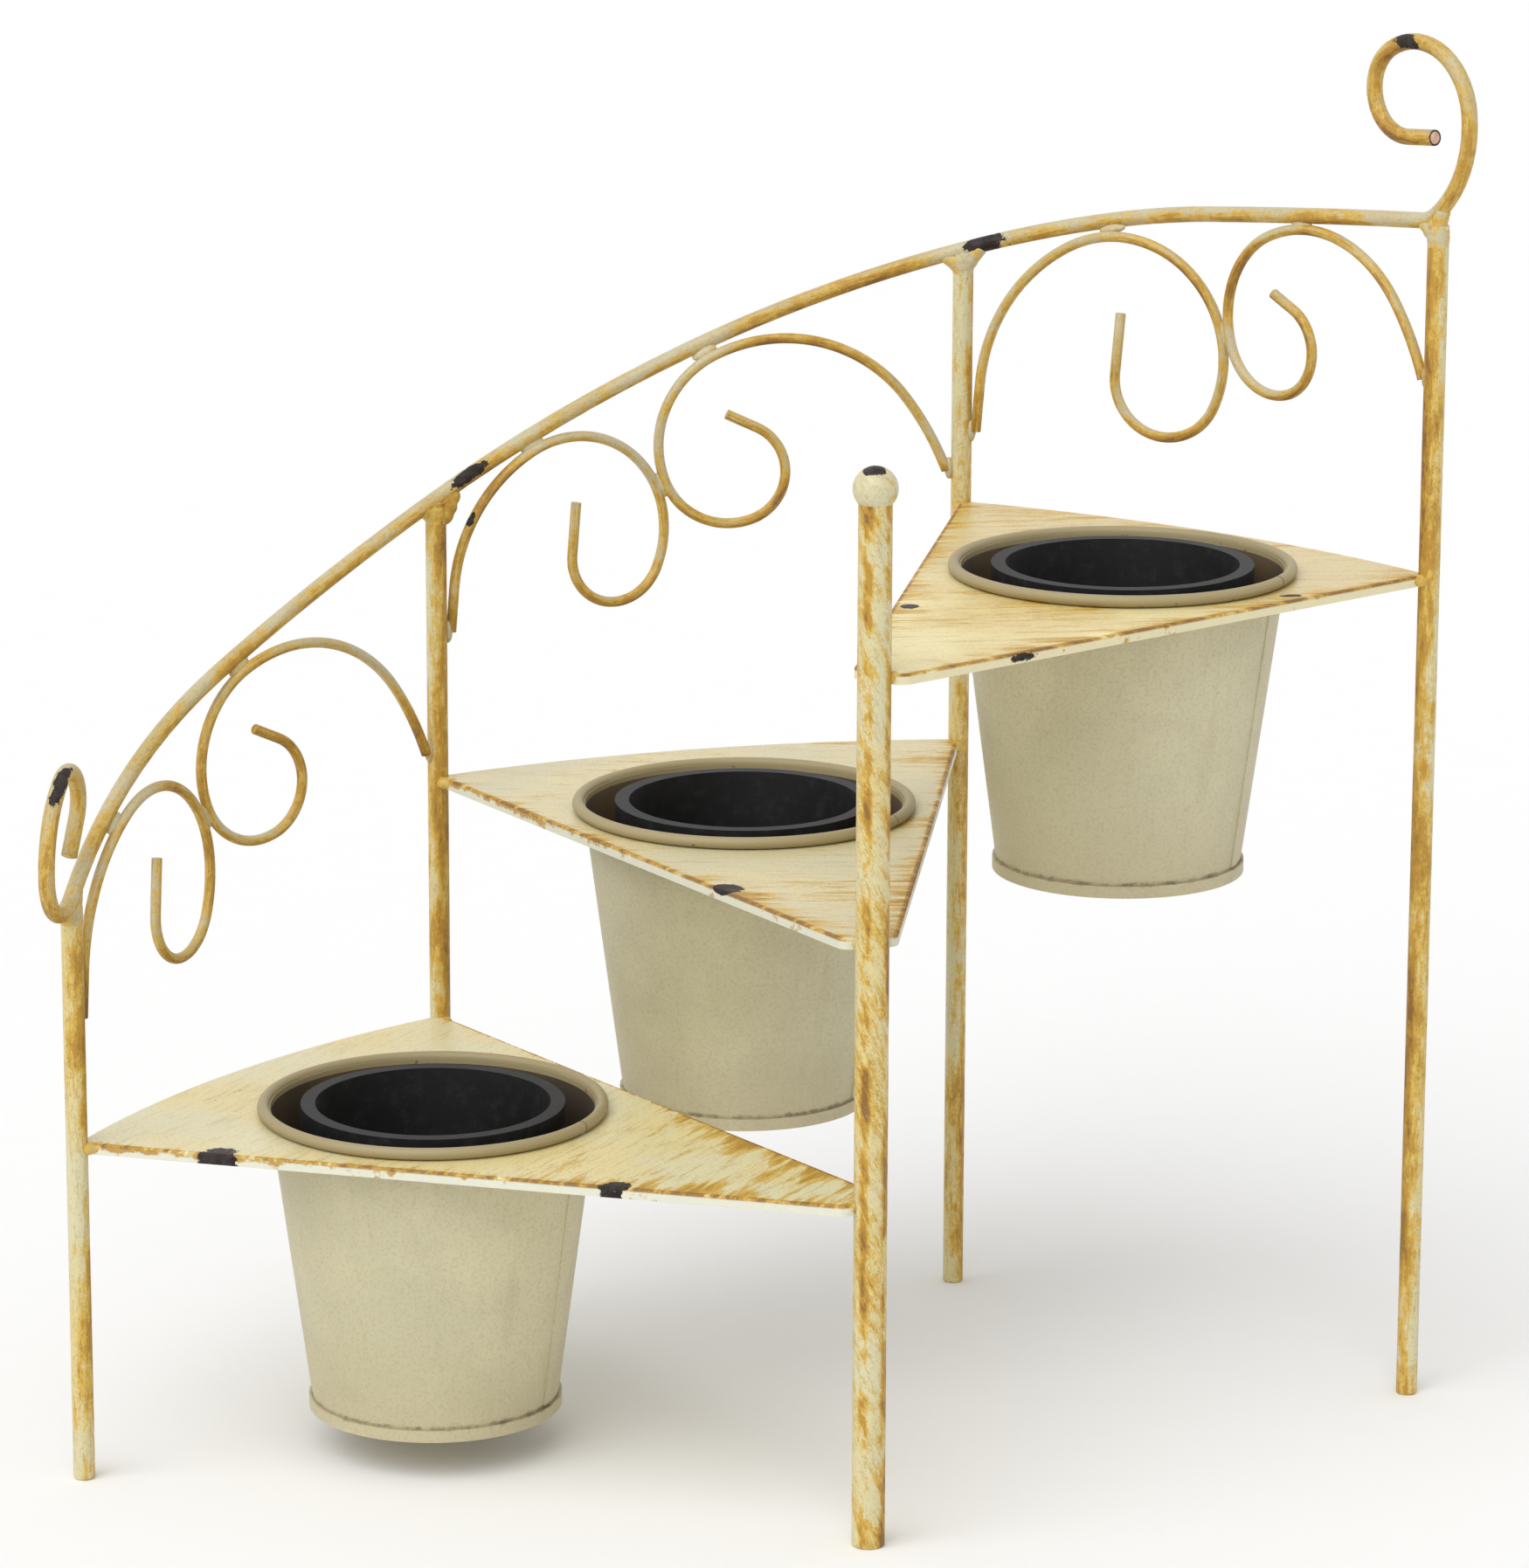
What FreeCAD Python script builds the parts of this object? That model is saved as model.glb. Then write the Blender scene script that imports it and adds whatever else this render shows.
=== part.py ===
import FreeCAD, Part
import math
import os

# Tiered plant stand shaped like a short spiral stair: a welded rod frame with three
# wedge shelves, each carrying a tapered sheet-metal pot that holds a plastic liner.
# The origin is at the foot of the centre post, +Z is up and +Y points along the middle
# of the second shelf. Lengths are in millimetres. Angles are in degrees: those of posts are
# taken about the centre post from +Y towards +X, and slopes and headings are above level.

# Layout of the posts, shelves and pots
post_names = ("a", "b", "c", "d")
post_angle_a = -63.5
post_angle_b = -21.2
post_angle_c = 20.5
post_angle_d = 64.5
hole_margin = 7.6
post_margin_a = 40.0
post_margin_b = 34.0
post_margin_c = 50.0
post_margin_d = 12.0
pot_floor_gap = 15.7
shelf_rise = 96.0

# Posts and finial
centre_post_dia = 12.0
centre_post_rise = 60.0
outer_post_dia = 8.0
ball_overhang = 2.0
foot_round = 1.0

# Handrail: rise of its centre line above a shelf, and its slope, at each post
rail_dia = 6.0
rail_rise_a = 92.0
rail_rise_b = 109.0
rail_rise_c = 99.5
rail_rise_d = 132.5
rail_slope_a = 37.0
rail_slope_b = 27.0
rail_slope_c = 16.0
rail_slope_d = 5.0
post_top_share = 0.5

# Curl at the handrail's lower end, bent outwards and up past post a
lower_curl_heel_radius = 16.0
lower_curl_heel_angle = 123.0
lower_curl_side_radius = 37.0
lower_curl_side_angle = 62.0
lower_curl_crest_radius = 12.0
lower_curl_crest_angle = 158.0
lower_curl_tail = 15.0

# Curl at the handrail's upper end, which starts a little before post d
upper_curl_lead = 9.0
upper_curl_neck_radius = 14.0
upper_curl_neck_angle = 33.0
upper_curl_side_radius = 42.0
upper_curl_side_angle = 60.0
upper_curl_crest_radius = 27.5
upper_curl_crest_angle = 114.0
upper_curl_eye_radius = 17.0
upper_curl_eye_angle = 153.0
upper_curl_tail = 14.0

# High scroll of each bay, bent from its post out towards the lower one, in shares of the bay's width
scroll_dia = 4.0
high_scroll_heading = 69.0
high_scroll_lead_radius_share = 0.566
high_scroll_lead_angle = 16.0
high_scroll_crown_radius_share = 0.288
high_scroll_crown_angle = 78.0
high_scroll_shoulder_radius_share = 0.184
high_scroll_shoulder_angle = 86.0
high_scroll_curl_radius_share = 0.1275
high_scroll_curl_angle = 88.0
high_scroll_eye_radius_share = 0.092
high_scroll_eye_angle = 136.0
high_scroll_tail_share = 0.0615
high_scroll_size_shares = (1.0, 1.0, 0.876)

# Low scroll of each bay, sized to fill the room that the high scroll leaves
low_scroll_heading = 85.0
low_scroll_lead_share = 0.18
low_scroll_leg_radius_share = 0.67
low_scroll_leg_angle = 58.0
low_scroll_crown_radius_share = 0.42
low_scroll_crown_angle = 141.0
low_scroll_curl_radius_share = 0.21
low_scroll_curl_angle = 75.0
low_scroll_eye_radius_share = 0.2
low_scroll_eye_angle = 86.0
low_scroll_tail_share = 0.22

# Shelves: pressed trays with a lip turned down all round
sheet_thickness = 1.0
shelf_lip = 4.0
shelf_edge_round = 0.8
shelf_bow = 14.0
shelf_tip_width = 20.0
shelf_tip_round = 5.0
shelf_tip_reach = 3.0

# Pots: rolled rim, lapped side seam, and a base pan hemmed round the foot
pot_rim_dia = 130.0
pot_height = 118.0
pot_bead_dia = 4.4
pot_wall = 0.8
pot_foot_dia = 91.0
pot_hem_height = 4.5
pot_hem_fold = 1.0
pot_base_recess = 4.2
seam_lap = 0.5
seam_angle = 131.0
seam_arc = 6.0
seam_gap_arc = 1.2

# Liners: plastic flower pots that stand inside the metal ones, with a rim turned over into a skirt
liner_rim_room = 11.2
liner_foot_room = 8.7
liner_drop = 1.0
liner_wall = 1.4
liner_flange = 4.0
liner_skirt = 7.0
drain_dia = 9.0
drain_count = 4
drain_reach_share = 0.6

# Clearances and welds
weld_gap = 0.15
hole_clearance = 0.6
seat_gap = 0.3
fold_gap = 0.15
weld_size = 3.0
weld_stem_share = 0.6
weld_fillet_share = 0.2
rail_weld_flare = 1.8
rail_weld_drop = 6.0
cut_overrun = 2.0

# Fineness of the search that seats each scroll under the rail
rail_sample_count = 80
seating_halving_count = 26

UP = FreeCAD.Vector(0, 0, 1)
ORIGIN = FreeCAD.Vector(0, 0, 0)
bays = (("a", "b"), ("b", "c"), ("c", "d"))
post_angles = {"a": post_angle_a, "b": post_angle_b, "c": post_angle_c, "d": post_angle_d}
bay_angles = tuple((post_angles[low] + post_angles[high]) / 2 for low, high in bays)
narrowest_bay = min(post_angles[high] - post_angles[low] for low, high in bays)

pot_rim_radius = pot_rim_dia / 2
pot_bead_radius = pot_bead_dia / 2
pot_wall_top_radius = pot_rim_radius - pot_bead_dia + pot_wall / 2
pot_floor = pot_base_recess + pot_wall
liner_rim_radius = pot_wall_top_radius - pot_wall - liner_rim_room
liner_foot_radius = pot_foot_dia / 2 - pot_wall - liner_foot_room
liner_height = pot_height - pot_floor - seat_gap - liner_drop

hole_radius = pot_wall_top_radius + hole_clearance
pot_reach = (hole_radius + hole_margin) / math.sin(math.radians(narrowest_bay / 2))
hole_far = pot_reach + hole_radius
post_reach = {
    "a": hole_far + post_margin_a,
    "b": hole_far + post_margin_b,
    "c": hole_far + post_margin_c,
    "d": hole_far + post_margin_d,
}

first_shelf_height = pot_floor_gap + pot_height - pot_bead_dia - seat_gap
shelf_heights = tuple(first_shelf_height + step * shelf_rise for step in range(len(bays)))
centre_post_height = shelf_heights[2] + centre_post_rise
rail_height = {
    "a": shelf_heights[0] + rail_rise_a,
    "b": shelf_heights[1] + rail_rise_b,
    "c": shelf_heights[2] + rail_rise_c,
    "d": shelf_heights[2] + rail_rise_d,
}
rail_slopes = {"a": rail_slope_a, "b": rail_slope_b, "c": rail_slope_c, "d": rail_slope_d}


def spoke(turn):
    """Level direction from the centre post outwards."""
    angle = math.radians(turn)
    return FreeCAD.Vector(math.sin(angle), math.cos(angle), 0)


def square(turn):
    """Level direction square to a spoke, the way the stair climbs."""
    angle = math.radians(turn)
    return FreeCAD.Vector(math.cos(angle), -math.sin(angle), 0)


def slanted(run, heading):
    """Direction along a level run, raised by a heading."""
    angle = math.radians(heading)
    return run * math.cos(angle) + UP * math.sin(angle)


def unit(vector):
    return vector * (1 / vector.Length)


def post_foot(name):
    return spoke(post_angles[name]) * post_reach[name]


def bay_width(bay):
    """Distance between the axes of a bay's two posts."""
    lower, higher = bays[bay]
    return (post_foot(higher) - post_foot(lower)).Length


def rail_point(name):
    return post_foot(name) + UP * rail_height[name]


def rail_direction(name):
    """The rail crosses every post square to its spoke."""
    return slanted(square(post_angles[name]), rail_slopes[name])


def tangent_arc(start, direction, end):
    """Arc that leaves its start along a direction and stops at its end."""
    chord = end - start
    along = unit(chord)
    across = unit(direction - along * direction.dot(along))
    half_angle = math.acos(direction.dot(along)) / 2
    crest = start + chord * 0.5 + across * (chord.Length / 2 * math.tan(half_angle))
    return Part.Arc(start, crest, end).toShape()


def biarc(start, start_direction, end, end_direction):
    """Two arcs that join two points smoothly along given directions."""
    span = end - start
    pull = span.dot(start_direction + end_direction)
    spread = 2 * (1 - start_direction.dot(end_direction))
    reach = (math.sqrt(pull * pull + spread * span.dot(span)) - pull) / spread
    meeting = (start + start_direction * reach + end - end_direction * reach) * 0.5
    meeting_direction = unit(meeting - start - start_direction * reach)
    first = tangent_arc(start, start_direction, meeting)
    second = tangent_arc(meeting, meeting_direction, end)
    return [first, second]


def bends(start, run, heading, lead, arcs, side, tail):
    """Path of a rod bent in an upright plane: a straight lead, arcs one after another, a straight tail.
    Each arc has a radius and a turn. The side is 1 where they turn upwards and -1 where they go down."""
    edges = []
    point = start
    if lead > 0:
        point = start + slanted(run, heading) * lead
        edges.append(Part.LineSegment(start, point).toShape())
    for radius, turn in arcs:
        centre = point + slanted(run, heading + side * 90) * radius
        middle = centre - slanted(run, heading + side * (turn / 2 + 90)) * radius
        heading = heading + side * turn
        end = centre - slanted(run, heading + side * 90) * radius
        edges.append(Part.Arc(point, middle, end).toShape())
        point = end
    end = point + slanted(run, heading) * tail
    edges.append(Part.LineSegment(point, end).toShape())
    return edges


def rod(edges, diameter):
    """Round rod swept along a smooth path."""
    first = edges[0]
    start = first.valueAt(first.FirstParameter)
    direction = first.tangentAt(first.FirstParameter)
    section = Part.Face(Part.Wire(Part.Circle(start, direction, diameter / 2).toShape()))
    return Part.Wire(edges).makePipe(section)


def backwards(edges):
    """The same path, run from its end to its start."""
    turned = []
    for edge in reversed(edges):
        first = edge.valueAt(edge.FirstParameter)
        last = edge.valueAt(edge.LastParameter)
        if isinstance(edge.Curve, Part.Line):
            turned.append(Part.LineSegment(last, first).toShape())
        else:
            middle = edge.valueAt((edge.FirstParameter + edge.LastParameter) / 2)
            turned.append(Part.Arc(last, middle, first).toShape())
    return turned


def rail_spans():
    """Centre line of the handrail from post a to the start of its upper curl."""
    points = [rail_point(name) for name in post_names]
    directions = [rail_direction(name) for name in post_names]
    points[-1] = points[-1] - directions[-1] * upper_curl_lead
    edges = []
    for step in range(len(bays)):
        edges += biarc(points[step], directions[step], points[step + 1], directions[step + 1])
    return edges


def lower_curl():
    arcs = (
        (lower_curl_heel_radius, lower_curl_heel_angle),
        (lower_curl_side_radius, lower_curl_side_angle),
        (lower_curl_crest_radius, lower_curl_crest_angle),
    )
    outwards = square(post_angle_a) * -1
    return bends(rail_point("a"), outwards, -rail_slope_a, 0, arcs, 1, lower_curl_tail)


def upper_curl():
    arcs = (
        (upper_curl_neck_radius, upper_curl_neck_angle),
        (upper_curl_side_radius, upper_curl_side_angle),
        (upper_curl_crest_radius, upper_curl_crest_angle),
        (upper_curl_eye_radius, upper_curl_eye_angle),
    )
    start = rail_point("d") - rail_direction("d") * upper_curl_lead
    return bends(start, square(post_angle_d), rail_slope_d, 0, arcs, 1, upper_curl_tail)


def rail_path():
    return backwards(lower_curl()) + rail_spans() + upper_curl()


def handrail():
    return rod(rail_path(), rail_dia)


def centre_post():
    post = Part.makeCylinder(centre_post_dia / 2, centre_post_height)
    return post.makeFillet(foot_round, [edge for edge in post.Edges if edge.BoundBox.ZMax < foot_round])


def ball_finial():
    """Ball with a flat as wide as the post that it stands on."""
    post_radius = centre_post_dia / 2
    radius = post_radius + ball_overhang
    rise = math.sqrt(radius ** 2 - post_radius ** 2)
    ball = Part.makeSphere(radius, UP * (centre_post_height + rise))
    below = Part.makeCylinder(2 * radius, 2 * radius, UP * (centre_post_height - 2 * radius))
    return ball.cut(below)


def outer_post(name, rail):
    """Post whose top is hollowed to cradle the rail."""
    height = rail_height[name] - post_top_share * rail_dia / 2
    post = Part.makeCylinder(outer_post_dia / 2, height, post_foot(name))
    post = post.makeFillet(foot_round, [edge for edge in post.Edges if edge.BoundBox.ZMax < foot_round])
    return post.cut(rail)


def high_scroll_path(bay, start_height, towards):
    """Spiral scroll that leaves the higher post of a bay along a level direction."""
    size = high_scroll_size_shares[bay] * bay_width(bay)
    arcs = (
        (high_scroll_lead_radius_share * size, high_scroll_lead_angle),
        (high_scroll_crown_radius_share * size, high_scroll_crown_angle),
        (high_scroll_shoulder_radius_share * size, high_scroll_shoulder_angle),
        (high_scroll_curl_radius_share * size, high_scroll_curl_angle),
        (high_scroll_eye_radius_share * size, high_scroll_eye_angle),
    )
    offset = outer_post_dia / 2 + scroll_dia / 2 * math.sin(math.radians(high_scroll_heading)) + weld_gap
    start = post_foot(bays[bay][1]) + towards * offset + UP * start_height
    return bends(start, towards, high_scroll_heading, 0, arcs, -1, high_scroll_tail_share * size)


def low_scroll_path(bay, start_height, towards, span):
    """Scroll that climbs the lower post of a bay, then curls in; its span sets all its bends."""
    arcs = (
        (low_scroll_leg_radius_share * span, low_scroll_leg_angle),
        (low_scroll_crown_radius_share * span, low_scroll_crown_angle),
        (low_scroll_curl_radius_share * span, low_scroll_curl_angle),
        (low_scroll_eye_radius_share * span, low_scroll_eye_angle),
    )
    offset = (outer_post_dia + scroll_dia) / 2 + weld_gap
    start = post_foot(bays[bay][0]) + towards * offset + UP * start_height
    lead = low_scroll_lead_share * span
    tail = low_scroll_tail_share * span
    return bends(start, towards, low_scroll_heading, lead, arcs, -1, tail)


def settle(make_path, other, wanted, low, high):
    """Value between two limits at which a path stands the wanted distance from another one.
    The distance shrinks as the value grows."""
    for halving in range(seating_halving_count):
        middle = (low + high) / 2
        if Part.Wire(make_path(middle)).distToShape(other)[0] > wanted:
            low = middle
        else:
            high = middle
    return low


def high_scroll_far(bay):
    """How far the high scroll of a bay reaches from the axis of its post."""
    towards = FreeCAD.Vector(1, 0, 0)
    path = Part.Wire(high_scroll_path(bay, 0, towards))
    return path.BoundBox.XMax - post_foot(bays[bay][1]).x + scroll_dia / 2


def meeting_place(bay, rail_points):
    """Place below the rail where the two scrolls of a bay meet, set by the high scroll's reach."""
    foot = post_foot(bays[bay][1])
    far = high_scroll_far(bay)
    level = [FreeCAD.Vector(point.x, point.y, 0) for point in rail_points]
    return min(level, key=lambda point: abs((point - foot).Length - far))


def rail_shadow(rail_points, foot, towards):
    """The rail's centre line seen square to the upright plane of a scroll."""
    places = []
    for point in rail_points:
        along = (point - foot).dot(towards)
        places.append(foot + towards * along + UP * point.z)
    return Part.makePolygon(places)


def scroll_pair(bay, rail_wire):
    """Paths of the two scrolls of a bay: both lie under the rail, and the low one touches the high one.
    Each lies in the upright plane through its post and their meeting place."""
    lower, higher = bays[bay]
    rail_points = rail_wire.discretize(Number=rail_sample_count)
    meeting = meeting_place(bay, rail_points)
    from_high = unit(meeting - post_foot(higher))
    from_low = unit(meeting - post_foot(lower))
    high_shadow = rail_shadow(rail_points, post_foot(higher), from_high)
    low_shadow = rail_shadow(rail_points, post_foot(lower), from_low)
    rail_gap = (rail_dia + scroll_dia) / 2 + weld_gap
    floor = rail_height[lower] / 2
    ceiling = rail_height[higher]

    def high_path(height):
        return high_scroll_path(bay, height, from_high)

    high_edges = high_path(settle(high_path, high_shadow, rail_gap, floor, ceiling))
    high_wire = Part.Wire(high_edges)

    def raised_low_path(span):
        def low_path(height):
            return low_scroll_path(bay, height, from_low, span)

        return low_path(settle(low_path, low_shadow, rail_gap, floor, ceiling))

    room = bay_width(bay)
    span = settle(raised_low_path, high_wire, scroll_dia + weld_gap, room / 8, room / 2)
    return raised_low_path(span), high_edges


def shelf_outline(bay):
    """Wedge from a blunt tip at the centre post out to two posts, with a bowed outer edge."""
    outwards = spoke(bay_angles[bay])
    across = square(bay_angles[bay])
    lower = post_foot(bays[bay][0])
    higher = post_foot(bays[bay][1])
    chord = unit(higher - lower)
    out = outwards - chord * outwards.dot(chord)
    crest = (lower + higher) * 0.5 + unit(out) * shelf_bow
    tip_low = outwards * shelf_tip_reach - across * (shelf_tip_width / 2)
    tip_high = outwards * shelf_tip_reach + across * (shelf_tip_width / 2)
    return Part.Wire(
        [
            Part.LineSegment(tip_low, lower).toShape(),
            Part.Arc(lower, crest, higher).toShape(),
            Part.LineSegment(higher, tip_high).toShape(),
            Part.LineSegment(tip_high, tip_low).toShape(),
        ]
    )


def near_centre(edge):
    """Upright edge at a corner of the shelf's tip."""
    upright = edge.BoundBox.XLength + edge.BoundBox.YLength < sheet_thickness
    middle = edge.CenterOfMass
    return upright and math.hypot(middle.x, middle.y) < shelf_tip_width


def on_top(edge, height):
    return edge.BoundBox.ZMin > height - sheet_thickness / 2


def shelf(bay):
    """Tray with turned-down lips, a round pot hole, and corners hollowed round the posts."""
    height = shelf_heights[bay]
    blank = Part.Face(shelf_outline(bay)).extrude(UP * shelf_lip)
    blank = blank.makeFillet(shelf_tip_round, [edge for edge in blank.Edges if near_centre(edge)])
    floor = min(blank.Faces, key=lambda face: face.CenterOfMass.z)
    hollow = floor.makeOffset2D(-sheet_thickness).extrude(UP * (shelf_lip - sheet_thickness))
    rounded = blank.makeFillet(shelf_edge_round, [edge for edge in blank.Edges if on_top(edge, shelf_lip)])
    tray = rounded.cut(hollow)
    tray.translate(UP * (height - shelf_lip))
    hole_place = spoke(bay_angles[bay]) * pot_reach + UP * (height - shelf_lip - cut_overrun)
    tray = tray.cut(Part.makeCylinder(hole_radius, shelf_lip + 2 * cut_overrun, hole_place))
    posts = [(ORIGIN, centre_post_dia)] + [(post_foot(name), outer_post_dia) for name in bays[bay]]
    for foot, diameter in posts:
        tray = tray.cut(Part.makeCylinder(diameter / 2 + weld_gap, 2 * height, foot))
    return max(tray.Solids, key=lambda solid: solid.Volume)


def turned(points, turn):
    """Solid turned about the Z axis from an outline of radii and heights."""
    corners = [FreeCAD.Vector(radius, 0, height) for radius, height in points]
    outline = Part.makePolygon(corners + corners[:1])
    return Part.Face(outline).revolve(ORIGIN, UP, turn)


def pot_wall_radius(height):
    """Outer radius of the pot's tapered wall at a height above its foot."""
    share = height / (pot_height - pot_bead_radius)
    return pot_foot_dia / 2 + share * (pot_wall_top_radius - pot_foot_dia / 2)


def pot_shell():
    """Tapered wall with a rolled rim, which stops short at the lapped side seam."""
    foot = pot_hem_fold + fold_gap
    top = pot_height - pot_bead_radius
    wall = turned(
        [
            (pot_wall_radius(foot) - pot_wall, foot),
            (pot_wall_radius(foot), foot),
            (pot_wall_radius(top), top),
            (pot_wall_radius(top) - pot_wall, top),
        ],
        360,
    )
    bead = Part.makeTorus(pot_rim_radius - pot_bead_radius, pot_bead_radius, UP * top)
    gap = turned(
        [
            (pot_wall_top_radius, top - pot_bead_dia),
            (pot_rim_radius + cut_overrun, top - pot_bead_dia),
            (pot_rim_radius + cut_overrun, top + pot_bead_dia),
            (pot_wall_top_radius, top + pot_bead_dia),
        ],
        seam_gap_arc,
    )
    seam_foot = pot_hem_height + pot_hem_fold
    seam_top = top - pot_bead_dia
    lap = turned(
        [
            (pot_wall_radius(seam_foot) - pot_wall / 2, seam_foot),
            (pot_wall_radius(seam_foot) + seam_lap, seam_foot),
            (pot_wall_radius(seam_top) + seam_lap, seam_top),
            (pot_wall_radius(seam_top) - pot_wall / 2, seam_top),
        ],
        seam_arc,
    )
    return wall.fuse(bead).cut(gap).fuse(lap).removeSplitter()


def pot_base():
    """Recessed base pan whose folded hem takes the lower edge of the wall."""
    inside = pot_wall_radius(0) - pot_wall - fold_gap
    outside = pot_wall_radius(pot_hem_height) + fold_gap
    return turned(
        [
            (0, pot_base_recess),
            (inside - pot_hem_fold, pot_base_recess),
            (inside - pot_hem_fold, 0),
            (outside + pot_hem_fold, 0),
            (outside + pot_hem_fold, pot_hem_height),
            (outside, pot_hem_height),
            (outside, pot_hem_fold),
            (inside, pot_hem_fold),
            (inside, pot_floor),
            (0, pot_floor),
        ],
        360,
    )


def pot_liner():
    """Plastic flower pot with its rim turned over into a skirt and drain holes in its floor."""
    neck = liner_rim_radius - liner_flange
    below_rim = liner_height - liner_wall
    liner = turned(
        [
            (0, 0),
            (liner_foot_radius, 0),
            (neck, below_rim),
            (liner_rim_radius - liner_wall, below_rim),
            (liner_rim_radius - liner_wall, liner_height - liner_skirt),
            (liner_rim_radius, liner_height - liner_skirt),
            (liner_rim_radius, liner_height),
            (neck - liner_wall, liner_height),
            (liner_foot_radius - liner_wall, liner_wall),
            (0, liner_wall),
        ],
        360,
    )
    for step in range(drain_count):
        place = spoke(step * 360 / drain_count) * (liner_foot_radius * drain_reach_share) - UP * cut_overrun
        liner = liner.cut(Part.makeCylinder(drain_dia / 2, liner_wall + 2 * cut_overrun, place))
    return liner


def placed(shape, bay, height):
    """Copy of a pot piece at its hole, with its seam turned to its place."""
    piece = shape.copy()
    piece.rotate(ORIGIN, UP, 90 - seam_angle)
    piece.translate(spoke(bay_angles[bay]) * pot_reach + UP * height)
    return piece


def bead_at(place, mates):
    """Small weld bead round a place, cut back by the pieces that it joins."""
    bead = Part.makeSphere(weld_size, place)
    for mate in mates:
        bead = bead.cut(mate)
    return max(bead.Solids, key=lambda solid: solid.Volume)


def bridge_between(first, second, rooms):
    """Weld between two pieces: a bead where they all but touch, a short stem where they stand apart.
    It keeps out of the rooms round the rods, which can part it into fillets on both sides."""
    near, far = first.distToShape(second)[1][0]
    gap = far - near
    if gap.Length < weld_size:
        weld = Part.makeSphere(weld_size, (near + far) * 0.5)
    else:
        radius = weld_size * weld_stem_share
        sunk = unit(gap) * radius
        weld = Part.makeCylinder(radius, gap.Length + 2 * radius, near - sunk, gap)
    for room in rooms:
        weld = weld.cut(room)
    least = weld_fillet_share * max(solid.Volume for solid in weld.Solids)
    return [solid for solid in weld.Solids if solid.Volume >= least]


def rail_welds(posts, rail):
    """Flared collar at the top of each outer post, under the rail."""
    solids = []
    for name in post_names:
        top = rail_height[name] - post_top_share * rail_dia / 2
        radius = outer_post_dia / 2
        collar = Part.makeCone(
            radius, radius + rail_weld_flare, rail_weld_drop, post_foot(name) + UP * (top - rail_weld_drop)
        )
        collar = collar.cut(posts[name]).cut(rail)
        solids.append(max(collar.Solids, key=lambda solid: solid.Volume))
    return solids


def shelf_welds(shelves, posts, centre):
    """Beads at each shelf's outer corners and at both sides of its tip."""
    solids = []
    for bay in range(len(bays)):
        level = UP * (shelf_heights[bay] - shelf_lip / 2)
        for name in bays[bay]:
            place = post_foot(name) - spoke(post_angles[name]) * (outer_post_dia / 2) + level
            solids.append(bead_at(place, [posts[name], shelves[bay]]))
        for side in (-1, 1):
            edge = unit(spoke(bay_angles[bay]) + square(bay_angles[bay]) * side)
            solids.append(bead_at(edge * (centre_post_dia / 2) + level, [centre, shelves[bay]]))
    return solids


def scroll_welds(low_scrolls, high_scrolls, posts, rail, rooms):
    """Welds where each scroll meets its post, the rail and its partner."""
    solids = []
    for bay in range(len(bays)):
        low = low_scrolls[bay]
        high = high_scrolls[bay]
        joints = [
            (low, posts[bays[bay][0]]),
            (low, rail),
            (high, posts[bays[bay][1]]),
            (high, rail),
            (low, high),
        ]
        for first, second in joints:
            solids += bridge_between(first, second, rooms[bay])
    return solids


def weld_rooms(bay, paths):
    """Rods and posts of a bay, thicker by the weld gap all round."""
    rooms = [rod(path, scroll_dia + 2 * weld_gap) for path in paths]
    rooms.append(rod(rail_path(), rail_dia + 2 * weld_gap))
    for name in bays[bay]:
        rooms.append(Part.makeCylinder(outer_post_dia / 2 + weld_gap, rail_height[name], post_foot(name)))
    return rooms


def build():
    pieces = {}
    rail = handrail()
    spans = rail_spans()
    posts = {name: outer_post(name, rail) for name in post_names}
    centre = centre_post()
    low_scrolls = []
    high_scrolls = []
    rooms = []
    for bay in range(len(bays)):
        low_path, high_path = scroll_pair(bay, Part.Wire(spans[2 * bay:2 * bay + 2]))
        low_scrolls.append(rod(low_path, scroll_dia))
        high_scrolls.append(rod(high_path, scroll_dia))
        rooms.append(weld_rooms(bay, (low_path, high_path)))
    shelves = [shelf(bay) for bay in range(len(bays))]
    shell = pot_shell()
    base = pot_base()
    liner = pot_liner()
    pieces["centre_post"] = centre
    pieces["ball_finial"] = ball_finial()
    pieces["handrail"] = rail
    for name in post_names:
        pieces["outer_post_" + name] = posts[name]
    for bay in range(len(bays)):
        tier = str(bay + 1)
        foot = pot_floor_gap + bay * shelf_rise
        pieces["low_scroll_" + tier] = low_scrolls[bay]
        pieces["high_scroll_" + tier] = high_scrolls[bay]
        pieces["shelf_" + tier] = shelves[bay]
        pieces["pot_shell_" + tier] = placed(shell, bay, foot)
        pieces["pot_base_" + tier] = placed(base, bay, foot)
        pieces["pot_liner_" + tier] = placed(liner, bay, foot + pot_floor + seat_gap)
    pieces["rail_welds"] = Part.makeCompound(rail_welds(posts, rail))
    pieces["shelf_welds"] = Part.makeCompound(shelf_welds(shelves, posts, centre))
    pieces["scroll_welds"] = Part.makeCompound(scroll_welds(low_scrolls, high_scrolls, posts, rail, rooms))
    return pieces


os.makedirs("parts", exist_ok=True)
for node, shape in build().items():
    shape.exportStep("parts/" + node + ".step")
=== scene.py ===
import heapq
import math

import bpy
import numpy
from mathutils import Matrix, Vector
from mathutils.bvhtree import BVHTree


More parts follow.
